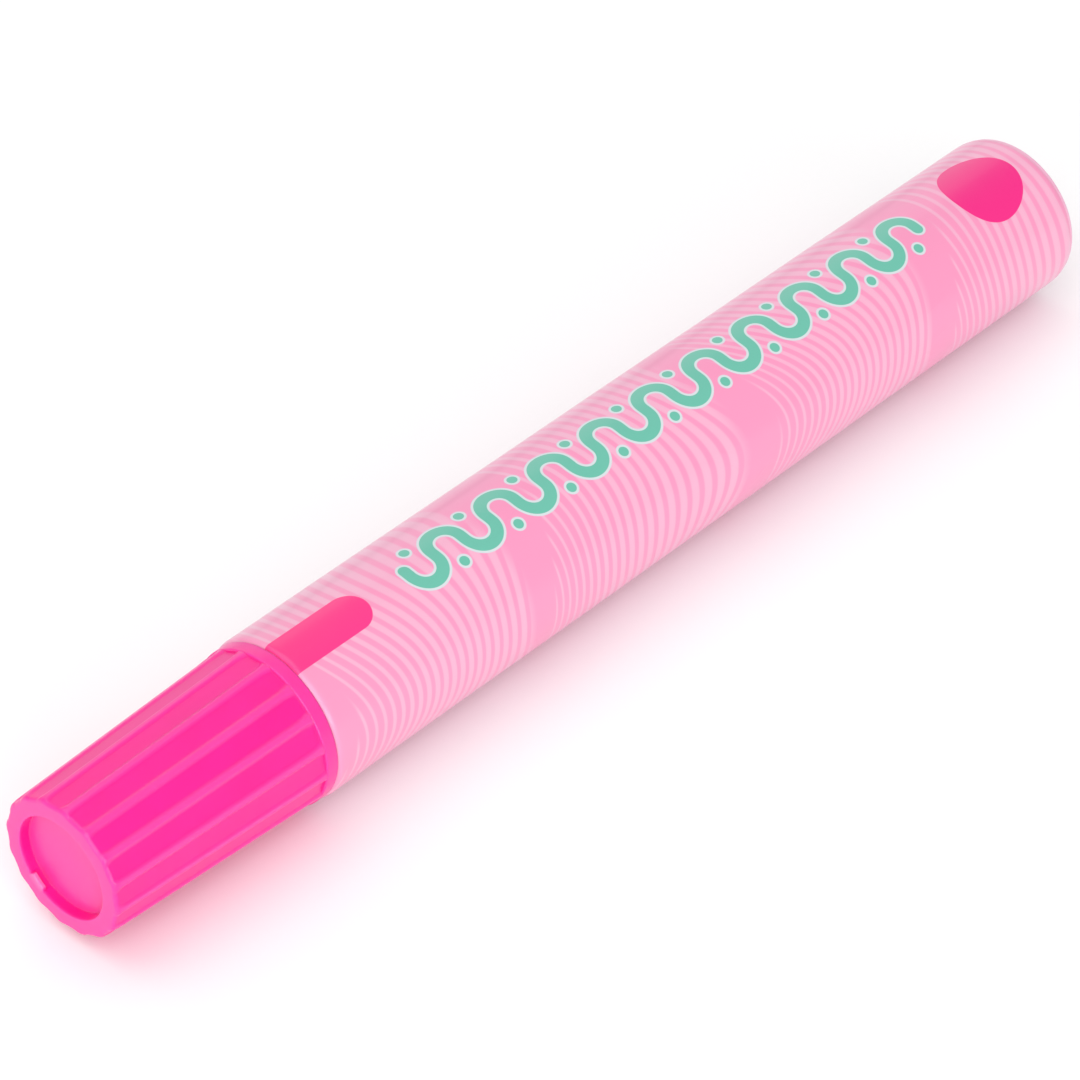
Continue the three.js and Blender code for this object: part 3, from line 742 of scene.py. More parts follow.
def ribbon(along, around, film):
    """Distance to a winding ribbon with round ends and a dot in each of its bends."""
    bend, straight = film.motif_bend / MM, film.motif_straight / MM
    length = bend * film.motif_bends
    x = along.most(-bend / 2).least(length + bend / 2)
    cell = (x - bend / 2).wrapped(-bend, bend)
    rise, fall = around - straight, around + straight
    top = (distance(cell, rise) - bend / 2).magnitude()
    bottom = (distance(cell.magnitude() - bend, fall) - bend / 2).magnitude()
    stroke = x.wrapped(-bend / 2, bend / 2).magnitude()
    above, below = rise.above(0.0), fall.below(0.0)
    line = mixed(below, mixed(above, stroke, top), bottom)
    last_side, last_turn = (above, rise) if film.motif_bends % 2 == 0 else (below, fall)
    line = mixed(below * x.below(bend / 2), line, distance(x, fall))
    line = mixed(last_side * x.above(length - bend / 2), line, distance(length - x, last_turn))
    winding = distance(along - x, line) - film.motif_stroke / (2 * MM)

    seat = straight + bend / 2
    held = along.most(0.0).least(length)
    dot_cell = (held - bend / 2).wrapped(-bend, bend)
    low_dot = distance(dot_cell, around + seat)
    high_dot = distance(dot_cell.magnitude() - bend, around - seat)
    dots = distance(along - held, low_dot.least(high_dot)) - film.dot / (2 * MM)
    return winding.least(dots)


def film_finish(film, shoulder):
    """Printed shrink film: stripes, tab, pebble and mint ribbon under a soft gloss with faint creases."""
    finish = Finish("Printed film", Coat_Weight=0.25, Coat_Roughness=0.12)
    place = finish.place
    # Millimetres along the film from the shoulder, and round it from the top towards -Y
    x, y, z = separated(place)
    around_mm = FILM_RADIUS / MM
    along = (x - shoulder) / MM
    around = math("ARCTAN2", 0.0 - y, z - AXIS) * around_mm

    motif = ribbon(along - film.motif_start / MM, around - film.motif_turn * around_mm, film)
    tab = capsule(along, around - film.tab_turn * around_mm, film.tab_length / MM, film.tab_width / MM)
    badge_along, badge_around = along - film.badge_place / MM, around - film.badge_turn * around_mm
    badge = pebble(badge_along, badge_around, film.badge_size / (2 * MM))
    printed = tinted(stripe_fans(film, along, around), film.ground, film.stripe)
    edge = 0.04
    outline = film.motif_outline / MM
    inks = ((motif - outline, film.outline), (motif, film.mint), (tab, film.tab), (badge, film.badge))
    for mark, ink in inks:
        printed = tinted(1.0 - ramp(mark, -edge, edge), printed, ink)

    haze = noise(place, scale=240.0, detail=3.0)
    finish.set(Base_Color=printed, Roughness=mixed(haze, 0.26, 0.40))
    folds = noise(stretched(place, (60.0, 190.0, 190.0), (0.0, 0.5, 0.6)), scale=1.0, detail=1.0)
    crease = 1.0 - ramp((folds - 0.5).magnitude(), 0.0, 0.012)
    patchy = ramp(noise(place, scale=48.0, detail=1.0), 0.52, 0.66)
    depth = 0.02 * MM
    finish.relief(crease * patchy + haze * 0.25, depth)
    return finish.material


def film_outline(film, barrel, d):
    """The film's section: outer skin from the shoulder to the base corner and the inner skin back."""
    front = Vector((barrel.shoulder_rounding, d.barrel - barrel.shoulder_rounding))
    back = Vector((d.base - barrel.base_rounding, d.barrel - barrel.base_rounding))
    upright = pi / 2
    skins = []
    for offset in (film.gap + film.thickness, film.gap):
        start = upright + film.front_wrap
        shoulder = arc(front, barrel.shoulder_rounding + offset, start, -film.front_wrap)
        base = arc(back, barrel.base_rounding + offset, upright, -film.base_wrap)
        skins.append((shoulder, base))
    (front_outer, base_outer), (front_inner, base_inner) = skins
    steps = 300
    straight = [front_outer[-1].lerp(base_outer[0], k / steps) for k in range(1, steps)]
    return front_outer + straight + base_outer + base_inner[::-1] + front_inner[::-1]


def film_wave(x, turn):
    """The film's waves from 0 to 1, with radians per metre along the tube and waves round it."""
    long_wave = sin(x * 95 + 2 * sin(2 * turn)) * sin(3 * turn + x * 41)
    short_wave = sin(x * 310 + 3 * turn) * sin(7 * turn - x * 120)
    return 0.5 + 0.35 * long_wave + 0.15 * short_wave


class TUBE_OT_film(Operator):
    """Makes the printed film with its shallow waves"""
    bl_idname = "tube.film"
    bl_label = "Printed Film"

    def execute(self, context):
        film, barrel, d = context.scene.tube_film, context.scene.tube_barrel, derived(context.scene)
        piece = revolve("printed_film", film_outline(film, barrel, d), d.shoulder, FILM_SIDES)
        for vertex in piece.data.vertices:
            x, y, z = vertex.co.x, vertex.co.y, vertex.co.z - AXIS
            radius = hypot(y, z)
            if radius < FILM_RADIUS - film.thickness / 2:
                continue
            # The waves fade out underneath, where the tube lies on the table
            fade = 8
            lifted = 1 - max(0, -z / radius) ** fade
            shrink = 1 - film.ripple * film_wave(x, atan2(y, z)) * lifted / radius
            vertex.co = (x, y * shrink, z * shrink + AXIS)
        settle(piece)
        hand_over(piece, "tube", "label_sleeve", film_finish(film, d.shoulder))
        return {"FINISHED"}


class TUBE_OT_barrel(Operator):
    """Makes the barrel with its base, shoulder, neck and snap bead"""
    bl_idname = "tube.barrel"
    bl_label = "Barrel"

    def execute(self, context):
        barrel, d = context.scene.tube_barrel, derived(context.scene)
        hollow = barrel.hollow_diameter / 2
        floor = barrel.length - barrel.hollow_depth
        dimple, dimple_depth, dimple_slope = 0.7 * MM, 0.25 * MM, 0.2 * MM
        piece = turned("barrel_body", [
            (floor + dimple_depth, 0, 0),
            (floor + dimple_depth, dimple, CRISP),
            (floor, dimple + dimple_slope, CRISP),
            (floor, hollow - barrel.hollow_depth, SOFT),
            (barrel.length, hollow, MILD),
            (barrel.length, d.foot - barrel.foot_height, CRISP),
            (d.base, d.foot, CRISP),
            (d.base, d.barrel, barrel.base_rounding),
            (0, d.barrel, barrel.shoulder_rounding),
            (0, d.neck, EASED),
            *bead(-barrel.bead_place, d.neck, barrel.bead_height, barrel.bead_width),
            (d.neck_mouth, d.neck, PLUMP),
            (d.neck_mouth, d.neck_bore, CRISP),
            (barrel.shoulder_thickness, d.neck_bore, SOFT),
            (d.chamber_start, d.chamber, BROAD),
            (d.chamber_end, d.chamber, barrel.inner_rounding),
            (d.chamber_end, 0, 0),
        ], d.shoulder)
        hand_over(piece, "tube", "barrel", moulded("Barrel plastic", barrel.tint, 0.42))
        return {"FINISHED"}


# Geometry trees

def new_geometry_tree(name, *inputs):
    """A geometry tree with the named inputs, and those inputs as signals."""
    tree = bpy.data.node_groups.new(name, "GeometryNodeTree")
    kinds = {"Geometry": "NodeSocketGeometry", "Material": "NodeSocketMaterial", "Count": "NodeSocketInt"}
    for item in ("Geometry", *inputs, "Material"):
        tree.interface.new_socket(item, in_out="INPUT", socket_type=kinds.get(item, "NodeSocketFloat"))
    tree.interface.new_socket("Geometry", in_out="OUTPUT", socket_type=kinds["Geometry"])
    given = tree.nodes.new("NodeGroupInput")
    return tree, {output.name: Signal(tree, output) for output in given.outputs if output.name}


def end_tree(value, geometry):
    """Ends a geometry tree in Realize Instances and Set Material."""
    tree = geometry.tree
    whole = node(tree, "GeometryNodeRealizeInstances", geometry)
    painted = node(tree, "GeometryNodeSetMaterial", Geometry=whole, Material=value["Material"])
    feed(tree.nodes.new("NodeGroupOutput").inputs[0], painted)
    return tree


def grow(piece, tree, sharp_angle=SHARP_ANGLE, **inputs):
    """Runs a geometry tree on the piece with its inputs set, and keeps the result as plain mesh."""
    modifier = piece.modifiers.new(tree.name, "NODES")
    modifier.node_group = tree
    values = {name.replace("_", " "): value for name, value in inputs.items()}
    for item in tree.interface.items_tree:
        if item.in_out == "INPUT" and item.name in values:
            modifier[item.identifier] = values.pop(item.name)
    if values:
        raise RuntimeError(f"{tree.name} has no input named {', '.join(values)}")
    settle(piece, sharp_angle)


def named_attribute(tree, name):
    settings = {"data_type": "FLOAT"}
    return node(tree, "GeometryNodeInputNamedAttribute", output="Attribute", settings=settings, Name=name)


# The cap

def flutes_tree():
    """Turns a round wall into flat panels between narrow ribs, which flare out to the rim ring."""
    tree, value = new_geometry_tree(
        "Flutes", "Count", "Phase", "Rib Height", "Crest Width", "Foot Width", "Crown", "Start", "Ease",
        "End Spread", "Flare", "Flare Start", "Flare Spread", "Ring Radius",
    )
    x, y, z = separated(node(tree, "GeometryNodeInputPosition"))
    z = z - AXIS
    fluted, pale = named_attribute(tree, "fluted"), named_attribute(tree, "pale")
    # The corners round the wall draw together on the ribs, where the shape bends most
    gather = 0.62
    half = pi / value["Count"]
    turn = math("ARCTAN2", 0.0 - y, z) - value["Phase"]
    local = turn.wrapped(half * -1.0, half)
    reach = local.magnitude() / half
    gathered = reach * (reach * gather + (1 - gather)) * half
    new_turn = turn - local + gathered * math("SIGN", local) + value["Phase"]
    radius = distance(y, z)
    panel = (radius * half.cosine() - value["Rib Height"]) / (half - gathered).cosine()
    flare = ((x - value["Flare Start"]) / value["Flare"]).limited()
    flare = flare * flare
    crest = mixed(flare, radius, value["Ring Radius"])
    across = gathered.sine() * radius
    away = ramp(x, value["Start"], value["Start"] + value["Ease"])
    spread = flare * value["Flare Spread"] + (1.0 - away) * value["End Spread"]
    foot = value["Foot Width"] * 0.5 + spread
    dome = across / foot
    rib = crest - dome * dome * value["Crown"]
    height_at_end = 0.4
    amount = 1.0 - ramp(across, value["Crest Width"] * 0.5 + spread * 0.5, foot)
    amount = amount * mixed(away, height_at_end, 1.0)
    final = mixed(fluted, radius, mixed(amount, panel, rib))
    # Painted light: the ribs' share is stored in the cap's painted light attribute, so their crests are
    # painted paler for the reflections they catch
    marked = node(
        tree, "GeometryNodeStoreNamedAttribute", settings={"data_type": "FLOAT"},
        Geometry=value["Geometry"], Name="pale", Value=(amount * fluted).most(pale),
    )
    target = combined(x, new_turn.sine() * final * -1.0, new_turn.cosine() * final + AXIS)
    return end_tree(value, node(tree, "GeometryNodeSetPosition", Geometry=marked, Position=target))


def cap_outline(cap, barrel, d):
    """The cap's section in two stretches: its recess and end, and its mouth and hollow."""
    recess = cap.recess_diameter / 2
    draft, land, recess_corner, recess_edge = 0.1 * MM, 0.8 * MM, 0.12 * MM, 0.14 * MM
    under_gate = [
        (d.cap_end + depth, recess - draft * depth / cap.recess_depth, 0)
        for depth in (cap.gate_depth + recess_corner, cap.gate_depth)
    ]
    end = rounded([
        (d.cap_end + cap.recess_depth, 0, 0),
        (d.cap_end + cap.recess_depth, recess - draft, recess_corner),
        *under_gate,
        (d.cap_end, recess, recess_edge),
        (d.cap_end, recess + land, 0),
    ])
    bead_place = barrel.bead_place - barrel.bead_width - cap.bead_spacing
    inner = rounded([
        (d.cap_mouth, d.ring, THIN),
        (d.cap_mouth, d.cap_seat, PLUMP),
        *bead(-bead_place, d.cap_seat, -cap.relief, barrel.bead_width),
        (d.flange_front, d.cap_seat, FULL),
        (d.cap_ceiling, d.ceiling, FULL),
        (d.cap_ceiling, 0, 0),
    ])
    return end, inner


def cap_wall(cap, d):
    """The fluted part of the cap's section as (along, crest radius), from its end edge to the rim ring."""
    rib_length = d.ring_front - d.cap_end
    slope = (d.rim_crest - d.tip_crest) / rib_length
    steps = ceil((pi / 2) / ARC_STEP)
    turns = [(pi / 2) * k / steps for k in range(steps + 1)]
    edge = [(cap.edge * (1 - cos(turn)), cap.edge * (1 - sin(turn))) for turn in turns]
    first_step = 0.15 * MM
    start = cap.edge + first_step
    flare_start = rib_length - cap.flare
    shares = (0, 0.01, 0.02, 0.03, 0.04, 0.06, 0.2, 0.4, 0.6, 0.8)
    straight = [(start + (flare_start - start) * share, 0) for share in shares]
    flare_steps = 8
    flare = [(flare_start + cap.flare * k / flare_steps, 0) for k in range(flare_steps + 1)]
    return [(d.cap_end + away, d.tip_crest + slope * away - drop) for away, drop in edge + straight + flare]


def add_gate_mark(piece, cap, d, painted_light_values):
    """Moves a stretch of the recess's wall inwards, where the moulding gate was cut off, and paints a
    highlight on it.
    """
    recess = cap.recess_diameter / 2
    soft_side, below, above = 0.7 * MM, 0.1 * MM, 0.3 * MM
    for vertex in piece.data.vertices:
        y, z = vertex.co.y, vertex.co.z - AXIS
        radius = hypot(y, z)
        depth = vertex.co.x - d.shoulder - d.cap_end
        if depth > cap.gate_depth + TOUCH or not recess - below < radius < recess + above:
            continue
        away = abs((atan2(y, z) - cap.gate_turn + pi) % (2 * pi) - pi) * radius
        inside = min(1, max(0, (cap.gate_width / 2 - away) / soft_side + 0.5))
        inside = inside * inside * (3 - 2 * inside)
        shrink = 1 - cap.gate_reach * inside / radius
        # The gate's painted highlight is stored above 1, over the other painted light
        painted_light_values[vertex.index] = max(painted_light_values[vertex.index], 2 * inside)
        vertex.co.y, vertex.co.z = y * shrink, z * shrink + AXIS


def painted_light_amount(cap, d, along, radius):
    """How much paler pink is painted on the cap at a place of its section: its end and its rim ring get
    painted light, standing in for the light and reflections they catch.
    """
    if abs(along - d.cap_end - cap.recess_depth) < TOUCH:
        return 1.0
    if radius < cap.recess_diameter / 2 - TOUCH:
        return 0.0
    ring_painted_light = 0.7
    if along > d.ring_front - TOUCH and radius > d.cap_seat + FULL:
        return ring_painted_light
    return max(0.0, 1.0 - (along - d.cap_end) / cap.edge)


def cap_finish(cap):
    """Hot pink moulded plastic with a soft gloss, faint flow marks along the cap and fine scuffs, with
    painted light on its end, rim ring, ribs and gate mark.
    """
    finish = Finish(
        "Cap plastic", Specular_IOR_Level=0.5,
        Subsurface_Weight=0.3, Subsurface_Radius=(1.0, 0.4, 0.7), Subsurface_Scale=2.5 * MM,
    )
    place = finish.place
    flow = noise(stretched(place, (35.0, 260.0, 260.0)), scale=1.0, detail=3.0)
    clouds = noise(place, scale=130.0, detail=3.0)
    deep = (cap.tint[0] * 0.97, cap.tint[1] * 0.7, cap.tint[2] * 0.93)
    body = tinted(ramp(clouds, 0.25, 0.75), deep, cap.tint)
    # This attribute runs from 0 to 1 where paler pink is painted for light and reflections, and from 1 to 2
    # where a highlight is painted on the gate's mark
    settings = {"attribute_name": "pale"}
    pale = node(place.tree, "ShaderNodeAttribute", output="Fac", settings=settings)
    shown = tinted(pale.limited() * (flow * 0.3 + 0.8), body, cap.pale)
    finish.set(
        Base_Color=tinted((pale - 1.0).limited(), shown, cap.gate),
        Roughness=mixed(flow * 0.6 + clouds * 0.4, 0.22, 0.42),
    )
    grain = noise(place, scale=2600.0)
    depth = 0.035 * MM
    finish.relief(flow * 0.55 + grain * 0.12 + clouds * 0.33, depth)
    return finish.material


class TUBE_OT_cap(Operator):
    """Makes the fluted cap with its ribs, rim ring, recess and hollow"""
    bl_idname = "tube.cap"
    bl_label = "Fluted Cap"

    def execute(self, context):
        cap, barrel, d = context.scene.tube_cap, context.scene.tube_barrel, derived(context.scene)
        end, inner = cap_outline(cap, barrel, d)
        wall = cap_wall(cap, d)
        ring = rounded([
            (d.ring_front, d.rim_crest - FULL, 0),
            (d.ring_front, d.ring, SOFT),
            (d.cap_mouth, d.ring, THIN),
            (d.cap_mouth, d.cap_seat, 0),
        ])[1:-1]
        outline = [tuple(point) for point in end + wall + ring + inner[1:]]
        sides = cap.ribs * SIDES_PER_RIB
        piece = revolve("fluted_cap", outline, d.shoulder, sides)
        fluted = range(len(end), len(end) + len(wall))
        weights, painted_light_values = [], []
        for i, (along, radius) in enumerate(outline):
            copies = 1 if radius < ON_AXIS else sides
            weights += [float(i in fluted)] * copies
            # Painted light of each ring of vertices: paler on the end, the recess floor and the rim ring
            painted_light_values += [painted_light_amount(cap, d, along, radius)] * copies
        add_gate_mark(piece, cap, d, painted_light_values)
        for name, values in (("fluted", weights), ("pale", painted_light_values)):
            attribute = piece.data.attributes.new(name, "FLOAT", "POINT")
            attribute.data.foreach_set("value", values)
        grow(
            piece, flutes_tree(), CAP_SHARP_ANGLE, Count=cap.ribs, Phase=cap.phase, Crown=cap.crown,
            Rib_Height=cap.rib_height, Crest_Width=cap.crest_width, Foot_Width=cap.foot_width,
            Start=CAP_LOW.x, Ease=cap.end_ease, End_Spread=cap.end_spread,
            Flare=cap.flare, Flare_Start=d.shoulder + d.ring_front - cap.flare,
            Flare_Spread=cap.flare_spread, Ring_Radius=d.ring, Material=cap_finish(cap),
        )
        weigh_normals(piece)
        hand_over(piece, "cap", "cap_shell")
        return {"FINISHED"}


class TUBE_OT_liner(Operator):
    """Makes the cap's soft liner, whose lip seals round the nose"""
    bl_idname = "tube.liner"
    bl_label = "Cap Liner"

    def execute(self, context):
        cap, d = context.scene.tube_cap, derived(context.scene)
        disc_rear = d.cap_ceiling + cap.liner_gap
        disc_front = disc_rear + cap.liner_disc
        disc = d.ceiling - cap.liner_gap
        lip_bore = d.nose + cap.clearance
        lip_end = d.nose_end + cap.overlap
        lip_start = lip_end - cap.lip_length
        piece = turned("cap_seal", [
            (disc_rear, 0, 0),
            (disc_rear, disc, CRISP),
            (disc_front, disc, EASED),
            (disc_front, d.liner, FULL),
            (lip_end, d.liner, MILD),
            (lip_end, lip_bore, SOFT),
            (lip_start, lip_bore, SOFT),
            (lip_start, d.liner_bore, FINE),
            (disc_front, d.liner_bore, BROAD),
            (disc_front, 0, 0),
        ], d.shoulder)
        finish = moulded("Liner plastic", cap.liner_tint, 0.5, clear=0.2)
        hand_over(piece, "cap", "cap_liner", finish)
        return {"FINISHED"}


# The neck insert, the nib and its holder

class TUBE_OT_insert(Operator):
    """Makes the moulding in the neck, with the valve's seat and the nose"""
    bl_idname = "tube.insert"
    bl_label = "Neck Insert"

    def execute(self, context):
        nozzle, d = context.scene.tube_nozzle, derived(context.scene)
        bore = d.holder + nozzle.clearance
        flange = d.neck - nozzle.flange_inset
        seat_hole = nozzle.seat_hole / 2
        piece = turned("neck_nozzle", [
            (d.plug_end, d.plug_bore, EASED),
            (d.plug_end, d.plug, SOFT),
            (d.flange_rear, d.plug, CRISP),
            (d.flange_rear, flange, CRISP),
            (d.flange_front, flange, SOFT),
            (d.flange_front, d.nose + nozzle.cone_step, FULL),
            (d.flange_front - nozzle.cone_length, d.nose, nozzle.cone_blend),
            (d.nose_end, d.nose, nozzle.nose_rounding),
            (d.nose_end, bore, SOFT),
            (d.web_front, bore, SOFT),
            (d.web_front, seat_hole, MILD),
            (d.web_rear, seat_hole, MILD),
            (d.web_rear, d.plug_bore, SOFT),
        ], d.shoulder, closed=True)
        finish = moulded("Insert plastic", nozzle.plastic, 0.38, clear=0.15)
        hand_over(piece, "tube", "neck_insert", finish)
        return {"FINISHED"}


def pierced_tree(name, round_cutter):
    """Cuts evenly spaced holes round the axis, with a round cutter along it or a square one across it."""
    tree, value = new_geometry_tree(name, "Count", "Turn", "Length", "Width", "Place", "Reach")
    if round_cutter:
        rod = node(
            tree, "GeometryNodeMeshCylinder", Vertices=32,
            Radius=value["Width"] * 0.5, Depth=value["Length"],
        )
        cutter = node(tree, "GeometryNodeTransform", Geometry=rod, Rotation=(0, pi / 2, 0))
    else:
        box = combined(value["Length"], value["Width"], value["Reach"])
        cutter = node(tree, "GeometryNodeMeshCube", Size=box)
    points = node(tree, "GeometryNodeMeshLine", Count=value["Count"], Offset=(0, 0, 0))
    turn = node(tree, "GeometryNodeInputIndex") / value["Count"] * (2 * pi) + value["Turn"]
    offset = combined(
        value["Place"], turn.sine() * value["Reach"] * -1.0, turn.cosine() * value["Reach"] + AXIS
    )
    spread = node(tree, "GeometryNodeSetPosition", Geometry=points, Position=offset)
    rotation = node(tree, "FunctionNodeEulerToRotation", combined(turn, 0.0, 0.0))
    copies = node(tree, "GeometryNodeInstanceOnPoints", Points=spread, Instance=cutter, Rotation=rotation)
    settings = {"operation": "DIFFERENCE", "solver": "EXACT"}
    inputs = {"Mesh 1": value["Geometry"], "Mesh 2": copies}
    return end_tree(value, node(tree, "GeometryNodeMeshBoolean", settings=settings, **inputs))


class TUBE_OT_holder(Operator):
    """Makes the sliding holder with its stop collar, hub and flow holes"""
    bl_idname = "tube.holder"
    bl_label = "Nib Holder"

    def execute(self, context):
        nozzle, d = context.scene.tube_nozzle, derived(context.scene)
        piece = revolve("nib_cup", rounded([
            (d.holder_rear, d.cup, CRISP),
            (d.holder_rear, d.holder, EASED),
            (d.collar_rear, d.holder, FINE),
            (d.collar_rear, d.collar, CRISP),
            (d.collar_front, d.collar, nozzle.collar_edge),
            (d.collar_front, d.cup, EASED),
            (d.holder_web_front, d.cup, CRISP),
            (d.holder_web_front, d.hub_bore, FINE),
            (d.holder_rear, d.hub_bore, FINE),
            (d.holder_rear, d.hub, EASED),
            (d.holder_web_rear, d.hub, EASED),
            (d.holder_web_rear, d.cup, EASED),
        ], closed=True), d.shoulder)
        # The holes are turned by half a side, so that none of their corners meets an edge of the cup
        grow(
            piece, pierced_tree("Flow holes", True), Count=nozzle.holes, Turn=pi / SIDES,
            Length=2 * nozzle.holder_web, Width=nozzle.hole, Reach=(d.hub + d.cup) / 2,
            Place=d.shoulder + (d.holder_web_front + d.holder_web_rear) / 2,
            Material=moulded("Holder plastic", nozzle.plastic, 0.34, clear=0.15),
        )
        weigh_normals(piece)
        hand_over(piece, "applicator", "nib_holder")
        return {"FINISHED"}


def pores_tree():
    """Pits the surface of the foam with open pores."""
    tree, value = new_geometry_tree("Foam pores", "Spacing", "Depth")
    place = node(tree, "GeometryNodeInputPosition")
    pit = 1.0 - ramp(cells(place, 1.0 / value["Spacing"]), 0.12, 0.5)
    depth = (pit * 0.8 + noise(place, scale=1500.0) * 0.2) * value["Depth"] * -1.0
    normal = node(tree, "GeometryNodeInputNormal")
    offset = node(tree, "ShaderNodeVectorMath", normal, settings={"operation": "SCALE"}, Scale=depth)
    return end_tree(value, node(tree, "GeometryNodeSetPosition", Geometry=value["Geometry"], Offset=offset))


def foam_finish(nozzle):
    """Open-cell foam: cream with painted shade in its pores, rough and dry."""
    finish = Finish("Nib foam", Roughness=0.95, Specular_IOR_Level=0.2, Sheen_Weight=0.25)
    pores, fine = (cells(finish.place, scale / nozzle.pore) for scale in (1, 3))
    # Painted shade: the pores and small pores are painted darker, standing in for the shade inside them
    open_pore = 1.0 - ramp(pores, 0.1, 0.42)
    small_pore = 1.0 - ramp(fine, 0.1, 0.45)
    depth = (open_pore * 0.75 + small_pore * 0.35).limited()
    finish.set(Base_Color=tinted(depth, nozzle.foam, darkened(nozzle.foam, 0.55)))
    finish.relief(pores * 0.6 + fine * 0.4, 0.06 * MM)
    return finish.material


class TUBE_OT_nib(Operator):
    """Makes the domed foam nib with its pores"""
    bl_idname = "tube.nib"
    bl_label = "Foam Nib"

    def execute(self, context):
        nozzle, d = context.scene.tube_nozzle, derived(context.scene)
        radius = d.cup - nozzle.seat_gap
        foot = d.holder_web_front - nozzle.seat_gap
        dome_start = d.nib_tip + nozzle.nib_dome
        steps = 60
        outline = [(foot, 0), (foot, radius / 2)]
        outline += [(foot + (dome_start - foot) * k / steps, radius) for k in range(steps)]
        turns = [(pi / 2) * k / steps for k in range(steps)]
        outline += [(dome_start - nozzle.nib_dome * sin(turn), radius * cos(turn)) for turn in turns]
        outline.append((d.nib_tip, 0))
        piece = revolve("foam_nib", outline, d.shoulder, NIB_SIDES)
        finish = foam_finish(nozzle)
        grow(piece, pores_tree(), Spacing=nozzle.pore, Depth=nozzle.pore_depth, Material=finish)
        hand_over(piece, "applicator", "sponge_nib")
        return {"FINISHED"}


# The press valve and the glue

class TUBE_OT_valve(Operator):
    """Makes the valve's stem, its gasket and the cage behind the seat"""
    bl_idname = "tube.valve"
    bl_label = "Press Valve"

    def execute(self, context):
        valve, nozzle, d = context.scene.tube_valve, context.scene.tube_nozzle, derived(context.scene)
        tip = d.holder_web_front + nozzle.seat_gap
        guide = valve.spring / 2 - valve.wire / 2 - valve.guide_clearance
        guide_end = d.head_rear + valve.guide_length
        stem = turned("valve_plunger", [
            (tip, 0, 0),
            (tip, d.stem, SOFT),
            (d.head_front, d.stem, HAIR),
            (d.head_front, valve.head / 2, FINE),
            (d.head_rear, valve.head / 2, MILD),
            (d.head_rear, guide, EASED),
            (guide_end, guide, valve.guide_rounding),
            (guide_end, 0, 0),
        ], d.shoulder, SMALL_SIDES)
        gasket_radius = valve.head / 2 - valve.gasket_inset
        gasket = turned("valve_seal", [
            (d.gasket_front, d.hub_bore, CRISP),
            (d.gasket_front, gasket_radius, MILD),
            (d.gasket_rear, gasket_radius, MILD),
            (d.gasket_rear, d.hub_bore, CRISP),
        ], d.shoulder, SMALL_SIDES, closed=True)
        flange = d.plug - valve.cage_flange_inset
        hole = valve.cage_hole / 2
        cage = revolve("spring_cage", rounded([
            (d.web_rear + valve.cage_gap, d.cage_inner, CRISP),
            (d.web_rear + valve.cage_gap, d.cage, EASED),
            (d.cage_flange_front, d.cage, FINE),
            (d.cage_flange_front, flange, CRISP),
            (d.cage_flange_rear, flange, EASED),
            (d.cage_flange_rear, d.cage, CRISP),
            (d.cage_rear, d.cage, FULL),
            (d.cage_rear, hole, CRISP),
            (d.cage_floor_front, hole, CRISP),
            (d.cage_floor_front, d.cage_inner, SOFT),
        ], closed=True), d.shoulder)
        natural = moulded("Valve plastic", valve.plastic, 0.45, clear=0.15)
        window_start = d.cage_flange_rear + valve.window_margin
        window_end = d.cage_floor_front - valve.window_margin
        grow(
            cage, pierced_tree("Cage windows", False), Count=valve.windows,
            Length=window_end - window_start, Width=valve.window,
            Place=d.shoulder + (window_start + window_end) / 2, Reach=d.cage_inner, Material=natural,
        )
        weigh_normals(cage)
        rubber = moulded("Gasket rubber", valve.rubber, 0.7, grain=0.01 * MM)
        hand_over(stem, "applicator", "valve_stem", natural)
        hand_over(gasket, "applicator", "valve_gasket", rubber)
        hand_over(cage, "tube", "valve_cage")
        return {"FINISHED"}


def spring_tree():
    """Winds a round wire into a compression spring whose two end turns are closer than the rest."""
    tree, value = new_geometry_tree(
        "Compression spring", "Count", "Start", "Span", "Radius", "Wire", "End Pitch"
    )
    steps_per_turn = 48.0
    turned_by = node(tree, "GeometryNodeInputIndex") / steps_per_turn
    pitch = (value["Span"] - value["End Pitch"] * 2.0) / (value["Count"] - 2.0)
    first = turned_by.least(1.0) * value["End Pitch"]
    middle = (turned_by - 1.0).most(0.0).least(value["Count"] - 2.0) * pitch
    last = (turned_by - (value["Count"] - 1.0)).most(0.0) * value["End Pitch"]
    turn = turned_by * (2 * pi)
    centre_line = combined(
        value["Start"] + first + middle + last,
        turn.sine() * value["Radius"],
        turn.cosine() * value["Radius"] + AXIS,
    )
    points = value["Count"] * steps_per_turn + 1.0
    line = node(tree, "GeometryNodeMeshLine", Count=points, Offset=(0, 0, MM))
    bent = node(tree, "GeometryNodeSetPosition", Geometry=line, Position=centre_line)
    curve = node(tree, "GeometryNodeMeshToCurve", Mesh=bent)
    section = node(tree, "GeometryNodeCurvePrimitiveCircle", Resolution=16, Radius=value["Wire"] * 0.5)
    wire = node(tree, "GeometryNodeCurveToMesh", Curve=curve, Profile_Curve=section, Fill_Caps=True)
    return end_tree(value, wire)


def steel_finish(valve):
    """Drawn stainless wire with fine streaks."""
    finish = Finish("Spring steel", Metallic=1.0)
    streaks = noise(finish.place, scale=3200.0, detail=3.0)
    colour_mix = tinted(streaks, darkened(valve.steel, 0.75), valve.steel)
    finish.set(Base_Color=colour_mix, Roughness=mixed(streaks, 0.18, 0.36))
    finish.relief(streaks, 0.008 * MM)
    return finish.material


